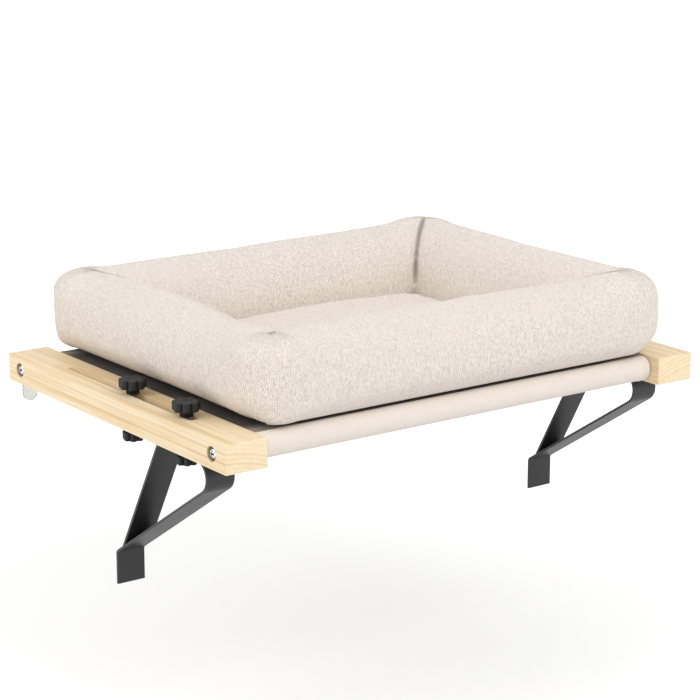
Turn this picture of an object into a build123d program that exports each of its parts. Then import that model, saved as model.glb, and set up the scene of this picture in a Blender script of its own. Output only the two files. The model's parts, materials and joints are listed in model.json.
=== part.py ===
from build123d import *
import os
from math import cos, hypot, radians, sin, tan

os.makedirs("parts", exist_ok=True)

# Radiator bed: two pine rails joined by two sleeved tubes with a sling between them, a bent
# steel bracket clamped under each rail, and a loose bolster bed on top.
# +X is to the right, +Y to the back and +Z up. The origin is the centre of the bounding box,
# at the level of the brackets' lowest edges.

# Rails
rail_length = 400.0
rail_width = 45.0
rail_height = 28.0
rail_edge_radius = 1.0
frame_width = 563.0

# Slot in each rail, along which the bracket slides
slot_width = 11.0
slot_length = 228.0
slot_front_margin = 85.0
slot_end_clearance = 2.0

# Tubes between the rails, their end plugs and the screws through the rails
tube_diameter = 22.0
tube_wall = 1.5
tube_inset = 23.5
socket_depth = 5.0
socket_clearance = 0.1
plug_length = 22.0
plug_fit = 0.05
screw_diameter = 5.0
screw_engagement = 16.0
screw_head_diameter = 9.8
screw_head_height = 3.7
screw_head_edge = 1.4
screw_clearance = 0.25
thread_fit = 0.05
counterbore_diameter = 14.5
counterbore_depth = 4.0

# Sling: a sleeve round each tube, and a panel stretched between them
sleeve_thickness = 1.4
sleeve_fit = 0.1
sleeve_end_gap = 0.6
panel_thickness = 1.6
panel_drop = 0.2
panel_lap_height = 0.5
panel_lap_length = 2.5
panel_side_gap = 1.0

# Clear stop under the back end of each rail
stop_width = 16.0
stop_thickness = 3.0
stop_reach = 25.0
stop_leg_length = 30.0

# Brackets: a flat bar bent twice, with a flat brace welded across it
bracket_drop = 163.0
bar_width = 30.0
bar_thickness = 2.5
bar_gap = 0.1
nose_inset = 43.0
nose_radius = 17.0
strut_angle = 32.9
pad_bend_radius = 3.0
pad_face_inset = 207.0
plate_end_reach = 18.0
plate_corner_radius = 4.0
brace_inset = 127.0
brace_angle = 60.8

# Clamping screws with their knobs, two to each bracket
front_bolt_inset = 100.0
bolt_spacing = 95.0
stud_diameter = 8.0
stud_clearance = 0.5
stud_tip_margin = 1.5
stud_root_depth = 9.0
stud_chamfer = 0.8
knob_lobe_count = 7
top_knob_diameter = 27.0
top_lobe_diameter = 8.4
top_waist_diameter = 18.0
top_valley_radius = 1.4
lower_knob_diameter = 21.5
lower_lobe_diameter = 6.7
lower_waist_diameter = 14.4
lower_valley_radius = 1.1
knob_head_height = 9.0
knob_edge = 1.2
knob_hub_diameter = 12.8
knob_hub_height = 5.5
knob_gap = 0.2
insert_diameter = 11.0
insert_length = 11.0
insert_fit = 0.05

# Bolster bed: a stuffed wall round a crowned pad
bed_left_inset = 39.0
bed_right_inset = 18.0
bed_front_inset = 3.0
bed_back_overhang = 9.0
bed_height = 80.2
bed_lift = 0.3
bed_corner_radius = 50.0
wall_thickness = 90.0
wall_foot_height = 19.0
wall_foot_width = 22.2
wall_side_height = 36.0
wall_belly = 1.0
wall_shoulder_width = 26.0
wall_shoulder_drop = 1.5
pad_gap = 0.5
pad_edge_height = 15.0
pad_crown = 12.0
pad_corner_radius = 8.0
pad_rim_radius = 6.0
dent_clearance = 2.5
dent_headroom = 5.0
dent_radius = 4.0

# Shares
half_share = 0.5

# Places that follow from the sizes above
overall_depth = rail_length + bed_back_overhang
front_y = -overall_depth * half_share
rail_bottom_z = bracket_drop
rail_top_z = rail_bottom_z + rail_height
rail_x = (frame_width - rail_width) * half_share
span = frame_width - rail_width - rail_width
sleeve_radius = tube_diameter * half_share + sleeve_fit + sleeve_thickness
tube_z = rail_top_z - panel_drop - panel_lap_height - sleeve_radius
front_tube_y = front_y + tube_inset
back_tube_y = front_y + rail_length - tube_inset
tube_end_x = span * half_share + socket_depth
stud_radius = stud_diameter * half_share
top_knob_radius = top_knob_diameter * half_share
knob_height = knob_hub_height + knob_head_height
bolt_places = {"front": front_y + front_bolt_inset, "rear": front_y + front_bolt_inset + bolt_spacing}
sides = {"left": -1, "right": 1}


def write_step(part, name):
    part.label = name
    export_step(part, f"parts/{name}.step")


# Each rail is a planed board with a slot from top to bottom for the clamping screws. Two
# counterbored holes from its outer side meet two shallow sockets in its inner side.
for side, sign in sides.items():
    outer_x = sign * frame_width * half_share
    inner_x = sign * span * half_share
    with BuildPart() as rail:
        with BuildSketch(Plane.XY.offset(rail_bottom_z)):
            with Locations((sign * rail_x, front_y + rail_length * half_share)):
                Rectangle(rail_width, rail_length)
        extrude(amount=rail_height)
        fillet(rail.edges(), radius=rail_edge_radius)
        with BuildSketch(Plane.XY.offset(rail_bottom_z)):
            with Locations((sign * rail_x, front_y + slot_front_margin + slot_length * half_share)):
                SlotOverall(slot_length, slot_width, rotation=90)
        extrude(amount=rail_height, mode=Mode.SUBTRACT)
        for tube_y in (front_tube_y, back_tube_y):
            with Locations(Plane(origin=(outer_x, tube_y, tube_z), z_dir=(sign, 0, 0))):
                CounterBoreHole(
                    radius=screw_diameter * half_share + screw_clearance,
                    counter_bore_radius=counterbore_diameter * half_share,
                    counter_bore_depth=counterbore_depth,
                    depth=rail_width,
                )
            with Locations(Plane(origin=(inner_x, tube_y, tube_z), z_dir=(-sign, 0, 0))):
                Hole(radius=tube_diameter * half_share + socket_clearance, depth=socket_depth)
    write_step(rail.part, f"{side}_rail")


# The screws are pan heads: a straight edge, a domed top and a shank that ends in the plug.
shank_length = rail_width - counterbore_depth - socket_depth + screw_engagement
for side, sign in sides.items():
    seat_x = sign * (frame_width * half_share - counterbore_depth)
    with BuildPart() as rail_screws:
        for tube_y in (front_tube_y, back_tube_y):
            screw_seat = (seat_x, tube_y, tube_z)
            with BuildSketch(Plane(origin=screw_seat, x_dir=(sign, 0, 0), z_dir=(0, 1, 0))):
                with BuildLine():
                    shank = Polyline(
                        (-shank_length, 0),
                        (-shank_length, screw_diameter * half_share),
                        (0, screw_diameter * half_share),
                        (0, screw_head_diameter * half_share),
                        (screw_head_edge, screw_head_diameter * half_share),
                    )
                    TangentArc((screw_head_height, 0), shank @ 1, tangent=(0, 1))
                    Line((screw_head_height, 0), shank @ 0)
                make_face()
            revolve(axis=Axis(screw_seat, (1, 0, 0)))
    write_step(rail_screws.part, f"{side}_rail_screws")


# Each tube ends in a socket of each rail. A threaded plug sits flush in each of its ends, and
# a cloth sleeve covers it from rail to rail.
plug_radius = tube_diameter * half_share - tube_wall - plug_fit
for place, tube_y in (("front", front_tube_y), ("back", back_tube_y)):
    with BuildPart() as tube:
        with BuildSketch(Plane.YZ.offset(-tube_end_x)):
            with Locations((tube_y, tube_z)):
                Circle(tube_diameter * half_share)
                Circle(tube_diameter * half_share - tube_wall, mode=Mode.SUBTRACT)
        extrude(amount=tube_end_x + tube_end_x)
    write_step(tube.part, f"{place}_tube")

    with BuildPart() as plugs:
        for sign in sides.values():
            with BuildSketch(Plane.YZ.offset(sign * tube_end_x)):
                with Locations((tube_y, tube_z)):
                    Circle(plug_radius)
                    Circle(screw_diameter * half_share + thread_fit, mode=Mode.SUBTRACT)
            extrude(amount=-sign * plug_length)
    write_step(plugs.part, f"{place}_tube_plugs")

    with BuildPart() as sleeve:
        with BuildSketch(Plane.YZ.offset(sleeve_end_gap - span * half_share)):
            with Locations((tube_y, tube_z)):
                Circle(sleeve_radius)
                Circle(sleeve_radius - sleeve_thickness, mode=Mode.SUBTRACT)
        extrude(amount=span - sleeve_end_gap - sleeve_end_gap)
    write_step(sleeve.part, f"{place}_sleeve")


# The panel is stretched level from tube to tube, and its ends lap over the crests of the sleeves.
with BuildPart() as sling_panel:
    with BuildSketch(Plane.YZ.offset(panel_side_gap - span * half_share)):
        with Locations((front_tube_y - panel_lap_length, rail_top_z - panel_drop)):
            Rectangle(
                back_tube_y - front_tube_y + panel_lap_length + panel_lap_length,
                panel_thickness,
                align=(Align.MIN, Align.MAX),
            )
        with Locations((front_tube_y, tube_z), (back_tube_y, tube_z)):
            Circle(sleeve_radius, mode=Mode.SUBTRACT)
    extrude(amount=span - panel_side_gap - panel_side_gap)
write_step(sling_panel.part, "sling_panel")


# A clear soft stop lies under the back end of each rail. It is an angle: the level leg cushions
# the rail, and the hanging leg, fully rounded at its lower end, hooks behind what the bed sits on.
stop_back_y = front_y + rail_length
stop_straight = stop_reach - stop_width * half_share
for side, sign in sides.items():
    with BuildPart() as stop:
        with BuildSketch(Plane.XY.offset(rail_bottom_z)):
            with Locations((sign * rail_x, stop_back_y)):
                Rectangle(stop_width, stop_leg_length, align=(Align.CENTER, Align.MAX))
        extrude(amount=-stop_thickness)
        leg_top = (sign * rail_x, stop_back_y, rail_bottom_z)
        with BuildSketch(Plane(origin=leg_top, x_dir=(1, 0, 0), z_dir=(0, -1, 0))):
            Rectangle(stop_width, stop_straight, align=(Align.CENTER, Align.MAX))
            with Locations((0, -stop_straight)):
                Circle(stop_width * half_share)
        extrude(amount=stop_thickness)
    write_step(stop.part, f"{side}_stop")


# Each bracket is one bar: a level plate under the rail, a round nose at the front, a strut that
# runs down and back, and an upright pad that bears on the front of the radiator.
plate_top_z = rail_bottom_z - bar_gap
plate_bottom_z = plate_top_z - bar_thickness
plate_rear_y = bolt_places["rear"] + plate_end_reach
strut_slope = tan(radians(strut_angle))
nose_centre_y = front_y + nose_inset + nose_radius
nose_corner_y = nose_centre_y - nose_radius / tan(radians(strut_angle * half_share))
pad_front_y = front_y + pad_face_inset - bar_thickness
strut_foot_z = plate_top_z - strut_slope * (pad_front_y - nose_corner_y)

# The brace leaves the plate behind the nose and ends on the upper face of the strut.
strut_top_rise = bar_thickness / cos(radians(strut_angle))
brace_slope = tan(radians(brace_angle))
brace_back_top_y = front_y + brace_inset + (rail_bottom_z - plate_bottom_z) / brace_slope
brace_front_top_y = brace_back_top_y - bar_thickness / sin(radians(brace_angle))


def brace_foot(top_y):
    """Where a line down the brace, from top_y on the underside of the plate, meets the strut."""
    corner_rise = plate_top_z + strut_top_rise - plate_bottom_z
    run = brace_slope * top_y - strut_slope * nose_corner_y - corner_rise
    foot_y = run / (brace_slope - strut_slope)
    return (foot_y, plate_bottom_z - brace_slope * (foot_y - top_y))


for side, sign in sides.items():
    bar_side_x = sign * rail_x - bar_width * half_share
    with BuildPart() as bracket_strip:
        with BuildSketch(Plane.YZ.offset(bar_side_x)):
            with BuildLine():
                FilletPolyline(
                    (plate_rear_y, plate_top_z),
                    (nose_corner_y, plate_top_z),
                    (pad_front_y, strut_foot_z),
                    (pad_front_y, 0),
                    radius=(nose_radius, pad_bend_radius),
                )
                offset(amount=bar_thickness, side=Side.LEFT)
            make_face()
        extrude(amount=bar_width)
        for bolt_y in bolt_places.values():
            with Locations((sign * rail_x, bolt_y, plate_top_z)):
                Hole(radius=stud_radius + stud_clearance, depth=bar_thickness)
        plate_end = bracket_strip.edges().filter_by(Axis.Z).group_by(Axis.Z)[-1].sort_by(Axis.Y)[-2:]
        fillet(plate_end, radius=plate_corner_radius)
    write_step(bracket_strip.part, f"{side}_bracket_strip")

    with BuildPart() as bracket_brace:
        with BuildSketch(Plane.YZ.offset(bar_side_x)):
            with BuildLine():
                Polyline(
                    (brace_front_top_y, plate_bottom_z),
                    (brace_back_top_y, plate_bottom_z),
                    brace_foot(brace_back_top_y),
                    brace_foot(brace_front_top_y),
                    close=True,
                )
            make_face()
        extrude(amount=bar_width)
    write_step(bracket_brace.part, f"{side}_bracket_brace")


# A knob has a round hub on its seat, a lobed head beyond it, and a blind bore from the hub.
def build_knob(name, seat, star_sizes, bore_radius, bore_depth):
    diameter, lobe_diameter, waist_diameter, valley_radius = star_sizes
    with BuildPart() as knob:
        with BuildSketch(seat.offset(knob_gap)):
            Circle(knob_hub_diameter * half_share)
        extrude(amount=knob_hub_height)
        with BuildSketch(seat.offset(knob_gap + knob_hub_height)) as star:
            Circle(waist_diameter * half_share)
            with PolarLocations((diameter - lobe_diameter) * half_share, knob_lobe_count):
                Circle(lobe_diameter * half_share)
            fillet(star.vertices(), radius=valley_radius)
        extrude(amount=knob_head_height)
        outer_face = knob.faces().filter_by(Axis.Z).sort_by(Axis.Z)[-1 if seat.z_dir.Z > 0 else 0]
        chamfer(outer_face.edges(), length=knob_edge)
        with BuildSketch(seat.offset(knob_gap)):
            Circle(bore_radius)
        extrude(amount=bore_depth, mode=Mode.SUBTRACT)
    write_step(knob.part, name)


# The stud is fixed in the upper knob, which seats on the rail. It goes down through the slot and
# the plate, and the lower knob, which is smaller, runs on it with a threaded insert.
top_star = (top_knob_diameter, top_lobe_diameter, top_waist_diameter, top_valley_radius)
lower_star = (lower_knob_diameter, lower_lobe_diameter, lower_waist_diameter, lower_valley_radius)
for side, sign in sides.items():
    for place, bolt_y in bolt_places.items():
        bolt_name = f"{side}_{place}"
        top_seat = Plane(origin=(sign * rail_x, bolt_y, rail_top_z), z_dir=(0, 0, 1))
        lower_seat = Plane(origin=(sign * rail_x, bolt_y, plate_bottom_z), z_dir=(0, 0, -1))
        build_knob(
            f"{bolt_name}_top_knob",
            top_seat,
            top_star,
            stud_radius + thread_fit,
            stud_root_depth,
        )
        build_knob(
            f"{bolt_name}_lower_knob",
            lower_seat,
            lower_star,
            insert_diameter * half_share + insert_fit,
            insert_length,
        )

        with BuildPart() as insert:
            with BuildSketch(lower_seat.offset(knob_gap)):
                Circle(insert_diameter * half_share)
                Circle(stud_radius + thread_fit, mode=Mode.SUBTRACT)
            extrude(amount=insert_length)
        write_step(insert.part, f"{bolt_name}_insert")

        stud_top = top_seat.offset(knob_gap + stud_root_depth)
        stud_length = stud_top.origin.Z - plate_bottom_z + knob_gap + insert_length - stud_tip_margin
        with BuildPart() as stud:
            with BuildSketch(stud_top):
                Circle(stud_radius)
            extrude(amount=-stud_length)
            chamfer(stud.edges().sort_by(Axis.Z)[0], length=stud_chamfer)
        write_step(stud.part, f"{bolt_name}_stud")


# The bolster is one stuffed wall round the bed. The section of the wall is drawn from its outer
# face inwards: a round foot, a slightly bellied side, a flat shoulder, and a full round inner side.
bed_width = frame_width - bed_left_inset - bed_right_inset
bed_depth = rail_length - bed_front_inset + bed_back_overhang
bed_x = (bed_left_inset - bed_right_inset) * half_share
bed_y = front_y + bed_front_inset + bed_depth * half_share
bed_bottom_z = rail_top_z + bed_lift
crest = wall_thickness * half_share

with BuildSketch() as wall_section:
    with BuildLine():
        foot = TangentArc((wall_foot_width, 0), (wall_belly, wall_foot_height), tangent=(-1, 0))
        flank = ThreePointArc(
            foot @ 1,
            (0, wall_foot_height + wall_side_height * half_share),
            (wall_belly, wall_foot_height + wall_side_height),
        )
        shoulder = TangentArc(
            flank @ 1,
            (wall_belly + wall_shoulder_width, bed_height - wall_shoulder_drop),
            tangent=flank % 1,
        )
        crown = TangentArc((crest, bed_height), shoulder @ 1, tangent=(-1, 0))
        inner_side = TangentArc(crown @ 0, (wall_thickness, bed_height - crest), tangent=(1, 0))
        Polyline(inner_side @ 1, (wall_thickness, 0), foot @ 0)
    make_face()


# The space that the right-hand knobs sweep below the overhanging edge of the bolster
sweep_front_y = front_y + slot_front_margin + slot_end_clearance + stud_radius
sweep_back_y = front_y + slot_front_margin + slot_length - slot_end_clearance - stud_radius
dent_reach = top_knob_radius + dent_clearance
with BuildPart() as knob_dent:
    with BuildSketch(Plane.XY.offset(rail_top_z)):
        with Locations((rail_x, (sweep_front_y + sweep_back_y) * half_share)):
            Rectangle(dent_reach + dent_reach, sweep_back_y - sweep_front_y + dent_reach + dent_reach)
    extrude(amount=knob_gap + knob_height + dent_headroom)
    fillet(knob_dent.edges().filter_by(Axis.Z), radius=dent_radius)

# Going round the bed: the direction in from each wall's outer face, its run and the way across
walls = (
    ((0, 1), bed_width, bed_depth),
    ((-1, 0), bed_depth, bed_width),
    ((0, -1), bed_width, bed_depth),
    ((1, 0), bed_depth, bed_width),
)
with BuildPart() as cushion_bolster:
    for (inward_x, inward_y), run, across in walls:
        wall_length = run - bed_corner_radius - bed_corner_radius
        wall_start = Plane(
            origin=(
                bed_x - inward_x * across * half_share - inward_y * wall_length * half_share,
                bed_y - inward_y * across * half_share + inward_x * wall_length * half_share,
                bed_bottom_z,
            ),
            x_dir=(inward_x, inward_y, 0),
            z_dir=(inward_y, -inward_x, 0),
        )
        with BuildSketch(wall_start):
            add(wall_section.sketch)
        extrude(amount=wall_length)
        wall_end = wall_start.offset(wall_length)
        with BuildSketch(wall_end):
            add(wall_section.sketch)
            Rectangle(bed_corner_radius, bed_height, align=(Align.MIN, Align.MIN), mode=Mode.INTERSECT)
        corner_centre = wall_end.from_local_coords((bed_corner_radius, 0, 0))
        revolve(axis=Axis(corner_centre, (0, 0, 1)), revolution_arc=90)
    add(knob_dent.part, mode=Mode.SUBTRACT)
write_step(cushion_bolster.part, "cushion_bolster")


# The pad fills the ring of the bolster. Its top is a shallow dome with soft rims.
pad_width = bed_width - wall_thickness - wall_thickness - pad_gap - pad_gap
pad_depth = bed_depth - wall_thickness - wall_thickness - pad_gap - pad_gap
pad_height = pad_edge_height + pad_crown
corner_reach = hypot(pad_width, pad_depth) * half_share
dome_radius = (corner_reach**2 + pad_crown**2) / (pad_crown + pad_crown)
with BuildPart() as cushion_pad:
    with BuildSketch(Plane.XY.offset(bed_bottom_z)):
        with Locations((bed_x, bed_y)):
            RectangleRounded(pad_width, pad_depth, pad_corner_radius)
    extrude(amount=pad_height)
    with Locations((bed_x, bed_y, bed_bottom_z + pad_height - dome_radius)):
        Sphere(dome_radius, mode=Mode.INTERSECT)
    fillet(cushion_pad.faces().sort_by(Axis.Z)[-1].edges(), radius=pad_rim_radius)
write_step(cushion_pad.part, "cushion_pad")
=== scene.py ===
import json
from math import atan2, cos, exp, hypot, pi, radians, sin, sqrt

import bmesh
import bpy
from mathutils import Matrix, Vector, noise


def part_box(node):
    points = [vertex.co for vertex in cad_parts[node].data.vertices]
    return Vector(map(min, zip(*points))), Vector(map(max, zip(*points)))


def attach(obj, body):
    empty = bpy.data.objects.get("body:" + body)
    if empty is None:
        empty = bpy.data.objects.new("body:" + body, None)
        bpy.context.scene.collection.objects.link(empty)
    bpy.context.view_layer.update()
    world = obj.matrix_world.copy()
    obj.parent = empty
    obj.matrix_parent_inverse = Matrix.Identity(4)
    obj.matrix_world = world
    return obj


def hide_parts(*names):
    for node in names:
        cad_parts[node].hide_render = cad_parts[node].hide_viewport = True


# A radiator bed, dressed in the order in which it is put together: rails, screws, tubes, sling,
# stops, brackets, knobs and studs, and last the loose bolster bed. Lengths are in metres.
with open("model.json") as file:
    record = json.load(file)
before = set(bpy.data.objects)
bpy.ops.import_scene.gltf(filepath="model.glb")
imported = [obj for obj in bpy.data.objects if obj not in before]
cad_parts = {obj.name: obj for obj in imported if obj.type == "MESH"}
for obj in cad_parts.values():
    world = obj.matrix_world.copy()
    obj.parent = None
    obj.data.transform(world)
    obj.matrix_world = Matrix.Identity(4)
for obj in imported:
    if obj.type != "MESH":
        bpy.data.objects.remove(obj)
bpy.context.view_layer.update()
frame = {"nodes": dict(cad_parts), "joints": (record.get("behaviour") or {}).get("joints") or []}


# Rails
# Two boards of planed knot-free pine, 45 x 28 mm, slotted on a router and sealed with a clear
# water-based lacquer. The slot and the screw pockets are cut after planing.
MM = 0.001
SIDES = {"left": -1, "right": 1}
ring_spacing = 4.2 * MM
ring_wander = 6.0 * MM
wander_scale = (14, 1.9, 14)  # waves per metre
late_rise = (0.1, 0.75)
late_fall = (1.0, 0.82)
ring_strength = (0.1, 0.52)
stain_share = 0.6
stain_spread = 0.3
streak_width = 5.5 * MM
streak_length = 170.0 * MM
streak_cover = (0.42, 0.7)
streak_share = 0.85
fibre_width = 0.7 * MM
fibre_length = 45.0 * MM
fibre_spread = (0.3, 0.7)
fibre_tone = (0.955, 1.03)
grain_relief = 0.06 * MM
pine_early = "#f5e2bf"
pine_late = "#e3c594"
pine_streak = "#e0bc82"
pine_heart = "#d9a869"
# Painted shade in the screw pockets, from the mouth shade to the floor shade
painted_pocket_shade = "#5a4526"
mouth_shade = 0.05
floor_shade = 0.75
end_calm = 0.25


def linear(hex_colour):
    """An sRGB hex colour as linear red, green, blue and alpha."""
    channels = [int(hex_colour[at:at + 2], 16) / 255 for at in (1, 3, 5)]
    return tuple(c / 12.92 if c <= 0.04045 else ((c + 0.055) / 1.055) ** 2.4 for c in channels) + (1.0,)


def add_node(material, kind, inputs=None, **settings):
    """Add one shader node and return its outputs. An input is a value, or a socket to link from."""
    made = material.node_tree.nodes.new("ShaderNode" + kind)
    for name, value in settings.items():
        setattr(made, name, value)
    for name, value in (inputs or {}).items():
        if isinstance(value, bpy.types.NodeSocket):
            material.node_tree.links.new(value, made.inputs[name])
        else:
            made.inputs[name].default_value = value
    return made.outputs


def new_material(name):
    """A material with an empty node tree."""
    material = bpy.data.materials.new(name)
    material.use_nodes = True
    material.node_tree.nodes.clear()
    return material


def dress(piece, material):
    """Give the piece one material in place of what it has."""
    piece.data.materials.clear()
    piece.data.materials.append(material)


def planed_pine(name, pith_x, pith_z, strong_ring, outer_face, pockets):
    """Planed pine. Growth rings run round a pith outside the board, so the streaks of the faces and
    the arcs of the end grain are one figure, as in a real board. Fibres give a faint silky streak,
    which the two sawn ends don't show.
    The screw pockets, each given as (y, z, radius, depth), get a painted shade that deepens from
    mouth to floor, standing for the shadow inside the recess."""
    pine = new_material(name)
    place = add_node(pine, "TexCoord")["Object"]
    square = add_node(pine, "SeparateXYZ", {0: add_node(pine, "TexCoord")["Normal"]})["Y"]
    sawn_end = add_node(pine, "Math", {0: square}, operation="ABSOLUTE")[0]
    lengthwise = add_node(pine, "MapRange", {"Value": sawn_end, "To Min": 1.0, "To Max": end_calm})[0]
    slow = add_node(pine, "Mapping", {"Vector": place, "Scale": wander_scale})[0]
    wander = add_node(pine, "TexNoise", {"Vector": slow, "Scale": 1.0, "Detail": 2.0})["Fac"]
    across = add_node(pine, "Mapping", {
        "Vector": place, "Location": (-pith_x, 0, -pith_z), "Scale": (1, 0, 1),
    })[0]
    radius = add_node(pine, "VectorMath", {0: across}, operation="LENGTH")["Value"]
    bent = add_node(pine, "Math", {0: wander, 1: ring_wander, 2: radius}, operation="MULTIPLY_ADD")[0]
    phase = add_node(pine, "Math", {0: bent, 1: ring_spacing}, operation="DIVIDE")[0]
    turn = add_node(pine, "Math", {0: phase}, operation="FRACT")[0]
    rise = add_node(pine, "MapRange", {
        "Value": turn, "From Min": late_rise[0], "From Max": late_rise[1],
    }, interpolation_type="SMOOTHSTEP")[0]
    fall = add_node(pine, "MapRange", {
        "Value": turn, "From Min": late_fall[0], "From Max": late_fall[1],
    }, interpolation_type="SMOOTHSTEP")[0]
    late = add_node(pine, "Math", {0: rise, 1: fall}, operation="MULTIPLY")[0]
    year = add_node(pine, "Math", {0: phase}, operation="FLOOR")[0]
    growth = add_node(pine, "TexWhiteNoise", {"W": year}, noise_dimensions="1D")["Value"]
    strength = add_node(pine, "MapRange", {
        "Value": growth, "To Min": ring_strength[0], "To Max": ring_strength[1],
    })[0]
    band = add_node(pine, "Math", {0: late, 1: strength}, operation="MULTIPLY")[0]
    fibre_scale = (1 / fibre_width, 1 / fibre_length, 1 / fibre_width)
    along = add_node(pine, "Mapping", {"Vector": place, "Scale": fibre_scale})[0]
    fibres = add_node(pine, "TexNoise", {
        "Vector": along, "Scale": 1.0, "Detail": 3.0, "Roughness": 0.6,
    })["Fac"]
    streak_scale = (1 / streak_width, 1 / streak_length, 1 / streak_width)
    drawn = add_node(pine, "Mapping", {"Vector": place, "Scale": streak_scale})[0]
    cloudy = add_node(pine, "TexNoise", {
        "Vector": drawn, "Scale": 1.0, "Detail": 3.0, "Roughness": 0.55,
    })["Fac"]
    cloud = add_node(pine, "MapRange", {
        "Value": cloudy, "From Min": streak_cover[0], "From Max": streak_cover[1], "To Max": streak_share,
    })[0]
    cloud = add_node(pine, "Math", {0: cloud, 1: lengthwise}, operation="MULTIPLY")[0]
    wood = add_node(pine, "MixRGB", {
        "Fac": band, "Color1": linear(pine_early), "Color2": linear(pine_late),
    })[0]
    clouded = add_node(pine, "MixRGB", {"Fac": cloud, "Color1": wood, "Color2": linear(pine_streak)})[0]
    off_ring = add_node(pine, "Math", {0: phase, 1: strong_ring}, operation="SUBTRACT")[0]
    near_ring = add_node(pine, "Math", {0: off_ring}, operation="ABSOLUTE")[0]
    stain = add_node(pine, "MapRange", {
        "Value": near_ring, "From Max": stain_spread, "To Min": stain_share, "To Max": 0.0,
    })[0]
    broken = add_node(pine, "Math", {0: stain, 1: cloudy}, operation="MULTIPLY")[0]
    stained = add_node(pine, "MixRGB", {"Fac": broken, "Color1": clouded, "Color2": linear(pine_heart)})[0]
    streak = add_node(pine, "MapRange", {
        "Value": fibres, "From Min": fibre_spread[0], "From Max": fibre_spread[1],
        "To Min": fibre_tone[0], "To Max": fibre_tone[1],
    })[0]
    tone = add_node(pine, "CombineColor", {"Red": streak, "Green": streak, "Blue": streak})[0]
    toned = add_node(pine, "MixRGB", {
        "Fac": lengthwise, "Color1": stained, "Color2": tone,
    }, blend_type="MULTIPLY")[0]
    # Painted shade: the screw pockets darken with depth below the outer face, for the shadow in the recess
    place_x = add_node(pine, "SeparateXYZ", {0: place})["X"]
    sunk = add_node(pine, "Math", {0: place_x, 1: outer_face}, operation="SUBTRACT")[0]
    depth = add_node(pine, "Math", {0: sunk}, operation="ABSOLUTE")[0]
    cut = 0.0
    for pocket_y, pocket_z, pocket_radius, pocket_depth in pockets:
        centred = add_node(pine, "Mapping", {
            "Vector": place, "Location": (0, -pocket_y, -pocket_z), "Scale": (0, 1, 1),
        })[0]
        off_axis = add_node(pine, "VectorMath", {0: centred}, operation="LENGTH")["Value"]
        in_pocket = add_node(pine, "Math", {0: off_axis, 1: pocket_radius}, operation="LESS_THAN")[0]
        shade = add_node(pine, "MapRange", {
            "Value": depth, "From Max": pocket_depth, "To Min": mouth_shade, "To Max": floor_shade,
        })[0]
        in_pocket = add_node(pine, "Math", {0: in_pocket, 1: shade}, operation="MULTIPLY")[0]
        cut = add_node(pine, "Math", {0: in_pocket, 1: cut}, operation="MAXIMUM")[0]
    colour = add_node(pine, "MixRGB", {"Fac": cut, "Color1": toned, "Color2": linear(painted_pocket_shade)})[0]
    relief = add_node(pine, "Math", {0: band, 1: fibres}, operation="SUBTRACT")[0]
    grain = add_node(pine, "Bump", {"Height": relief, "Strength": 0.5, "Distance": grain_relief})[0]
    shader = add_node(pine, "BsdfPrincipled", {
        "Base Color": colour, "Normal": grain, "Roughness": 0.46,
        "Coat Weight": 0.12, "Coat Roughness": 0.35,
    })[0]
    add_node(pine, "OutputMaterial", {"Surface": shader})
    return pine


pocket_reach = 7.3 * MM
pocket_depth = 4.0 * MM
pith_places = {"left": (-25 * MM, -150 * MM), "right": (30 * MM, -120 * MM)}
strong_rings = {"left": 35.6, "right": 29.4}  # counted from the pith


def box_middle(node):
    """The middle of a node's box at rest."""
    low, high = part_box(node)
    return (low + high) / 2


for side in SIDES:
    low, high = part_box(f"{side}_rail")
    rail_middle = box_middle(f"{side}_rail")
    pith_x = rail_middle.x + pith_places[side][0]
    pith_z = rail_middle.z + pith_places[side][1]
    pockets = []
    for tube in ("front_tube", "back_tube"):
        bore = box_middle(tube)
        pockets.append((bore.y, bore.z, pocket_reach, pocket_depth))
    outer_face = low.x if side == "left" else high.x
    pine = planed_pine(
        f"planed pine {side}", pith_x, pith_z, strong_rings[side], outer_face, pockets,
    )
    dress(frame["nodes"][f"{side}_rail"], pine)


# Rail screws
# Cross-recessed pan-head screws, M5, cold headed and bright zinc plated. They go through the rail
# from its outer side and draw the tube into its socket.
head_height = 3.7 * MM
head_edge = 1.4 * MM
head_rim_round = 0.35 * MM
recess_reach = 3.0 * MM
recess_half_width = 0.72 * MM
recess_depth = 2.2 * MM
recess_edge = 0.18 * MM
recess_floor_share = 0.55
dome_power = 2.6
dome_rings = 40
screw_columns = 72
shank_radius = 2.45 * MM
metal_cloud = 1.5 * MM
zinc_plate = "#d0d1d4"
# Painted shade for the shadow in the screws' cross recesses
recess_painted_shade = "#1c1c1e"


def skin(name, rings, material, loop=False, sharp=40):
    """Join equal closed rings of points into one smooth surface; edges past the sharp angle stay crisp."""
    count = len(rings[0])
    mesh = bpy.data.meshes.new(name)
    faces = []
    for row in range(len(rings) if loop else len(rings) - 1):
        here, there = row * count, (row + 1) % len(rings) * count
        for at in range(count):
            after = (at + 1) % count
            faces.append((here + at, here + after, there + after, there + at))
    if not loop:
        faces.append(tuple(range(count)))
        faces.append(tuple(range((len(rings) - 1) * count, len(rings) * count)))
    mesh.from_pydata([point for ring in rings for point in ring], [], faces)
    shaped = bmesh.new()
    shaped.from_mesh(mesh)
    bmesh.ops.remove_doubles(shaped, verts=shaped.verts, dist=0.002 * MM)
    bmesh.ops.recalc_face_normals(shaped, faces=shaped.faces)
    shaped.to_mesh(mesh)
    shaped.free()
    mesh.shade_smooth()
    mesh.set_sharp_from_angle(angle=radians(sharp))
    made = bpy.data.objects.new(name, mesh)
    bpy.context.scene.collection.objects.link(made)
    dress(made, material)
    return made


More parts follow.
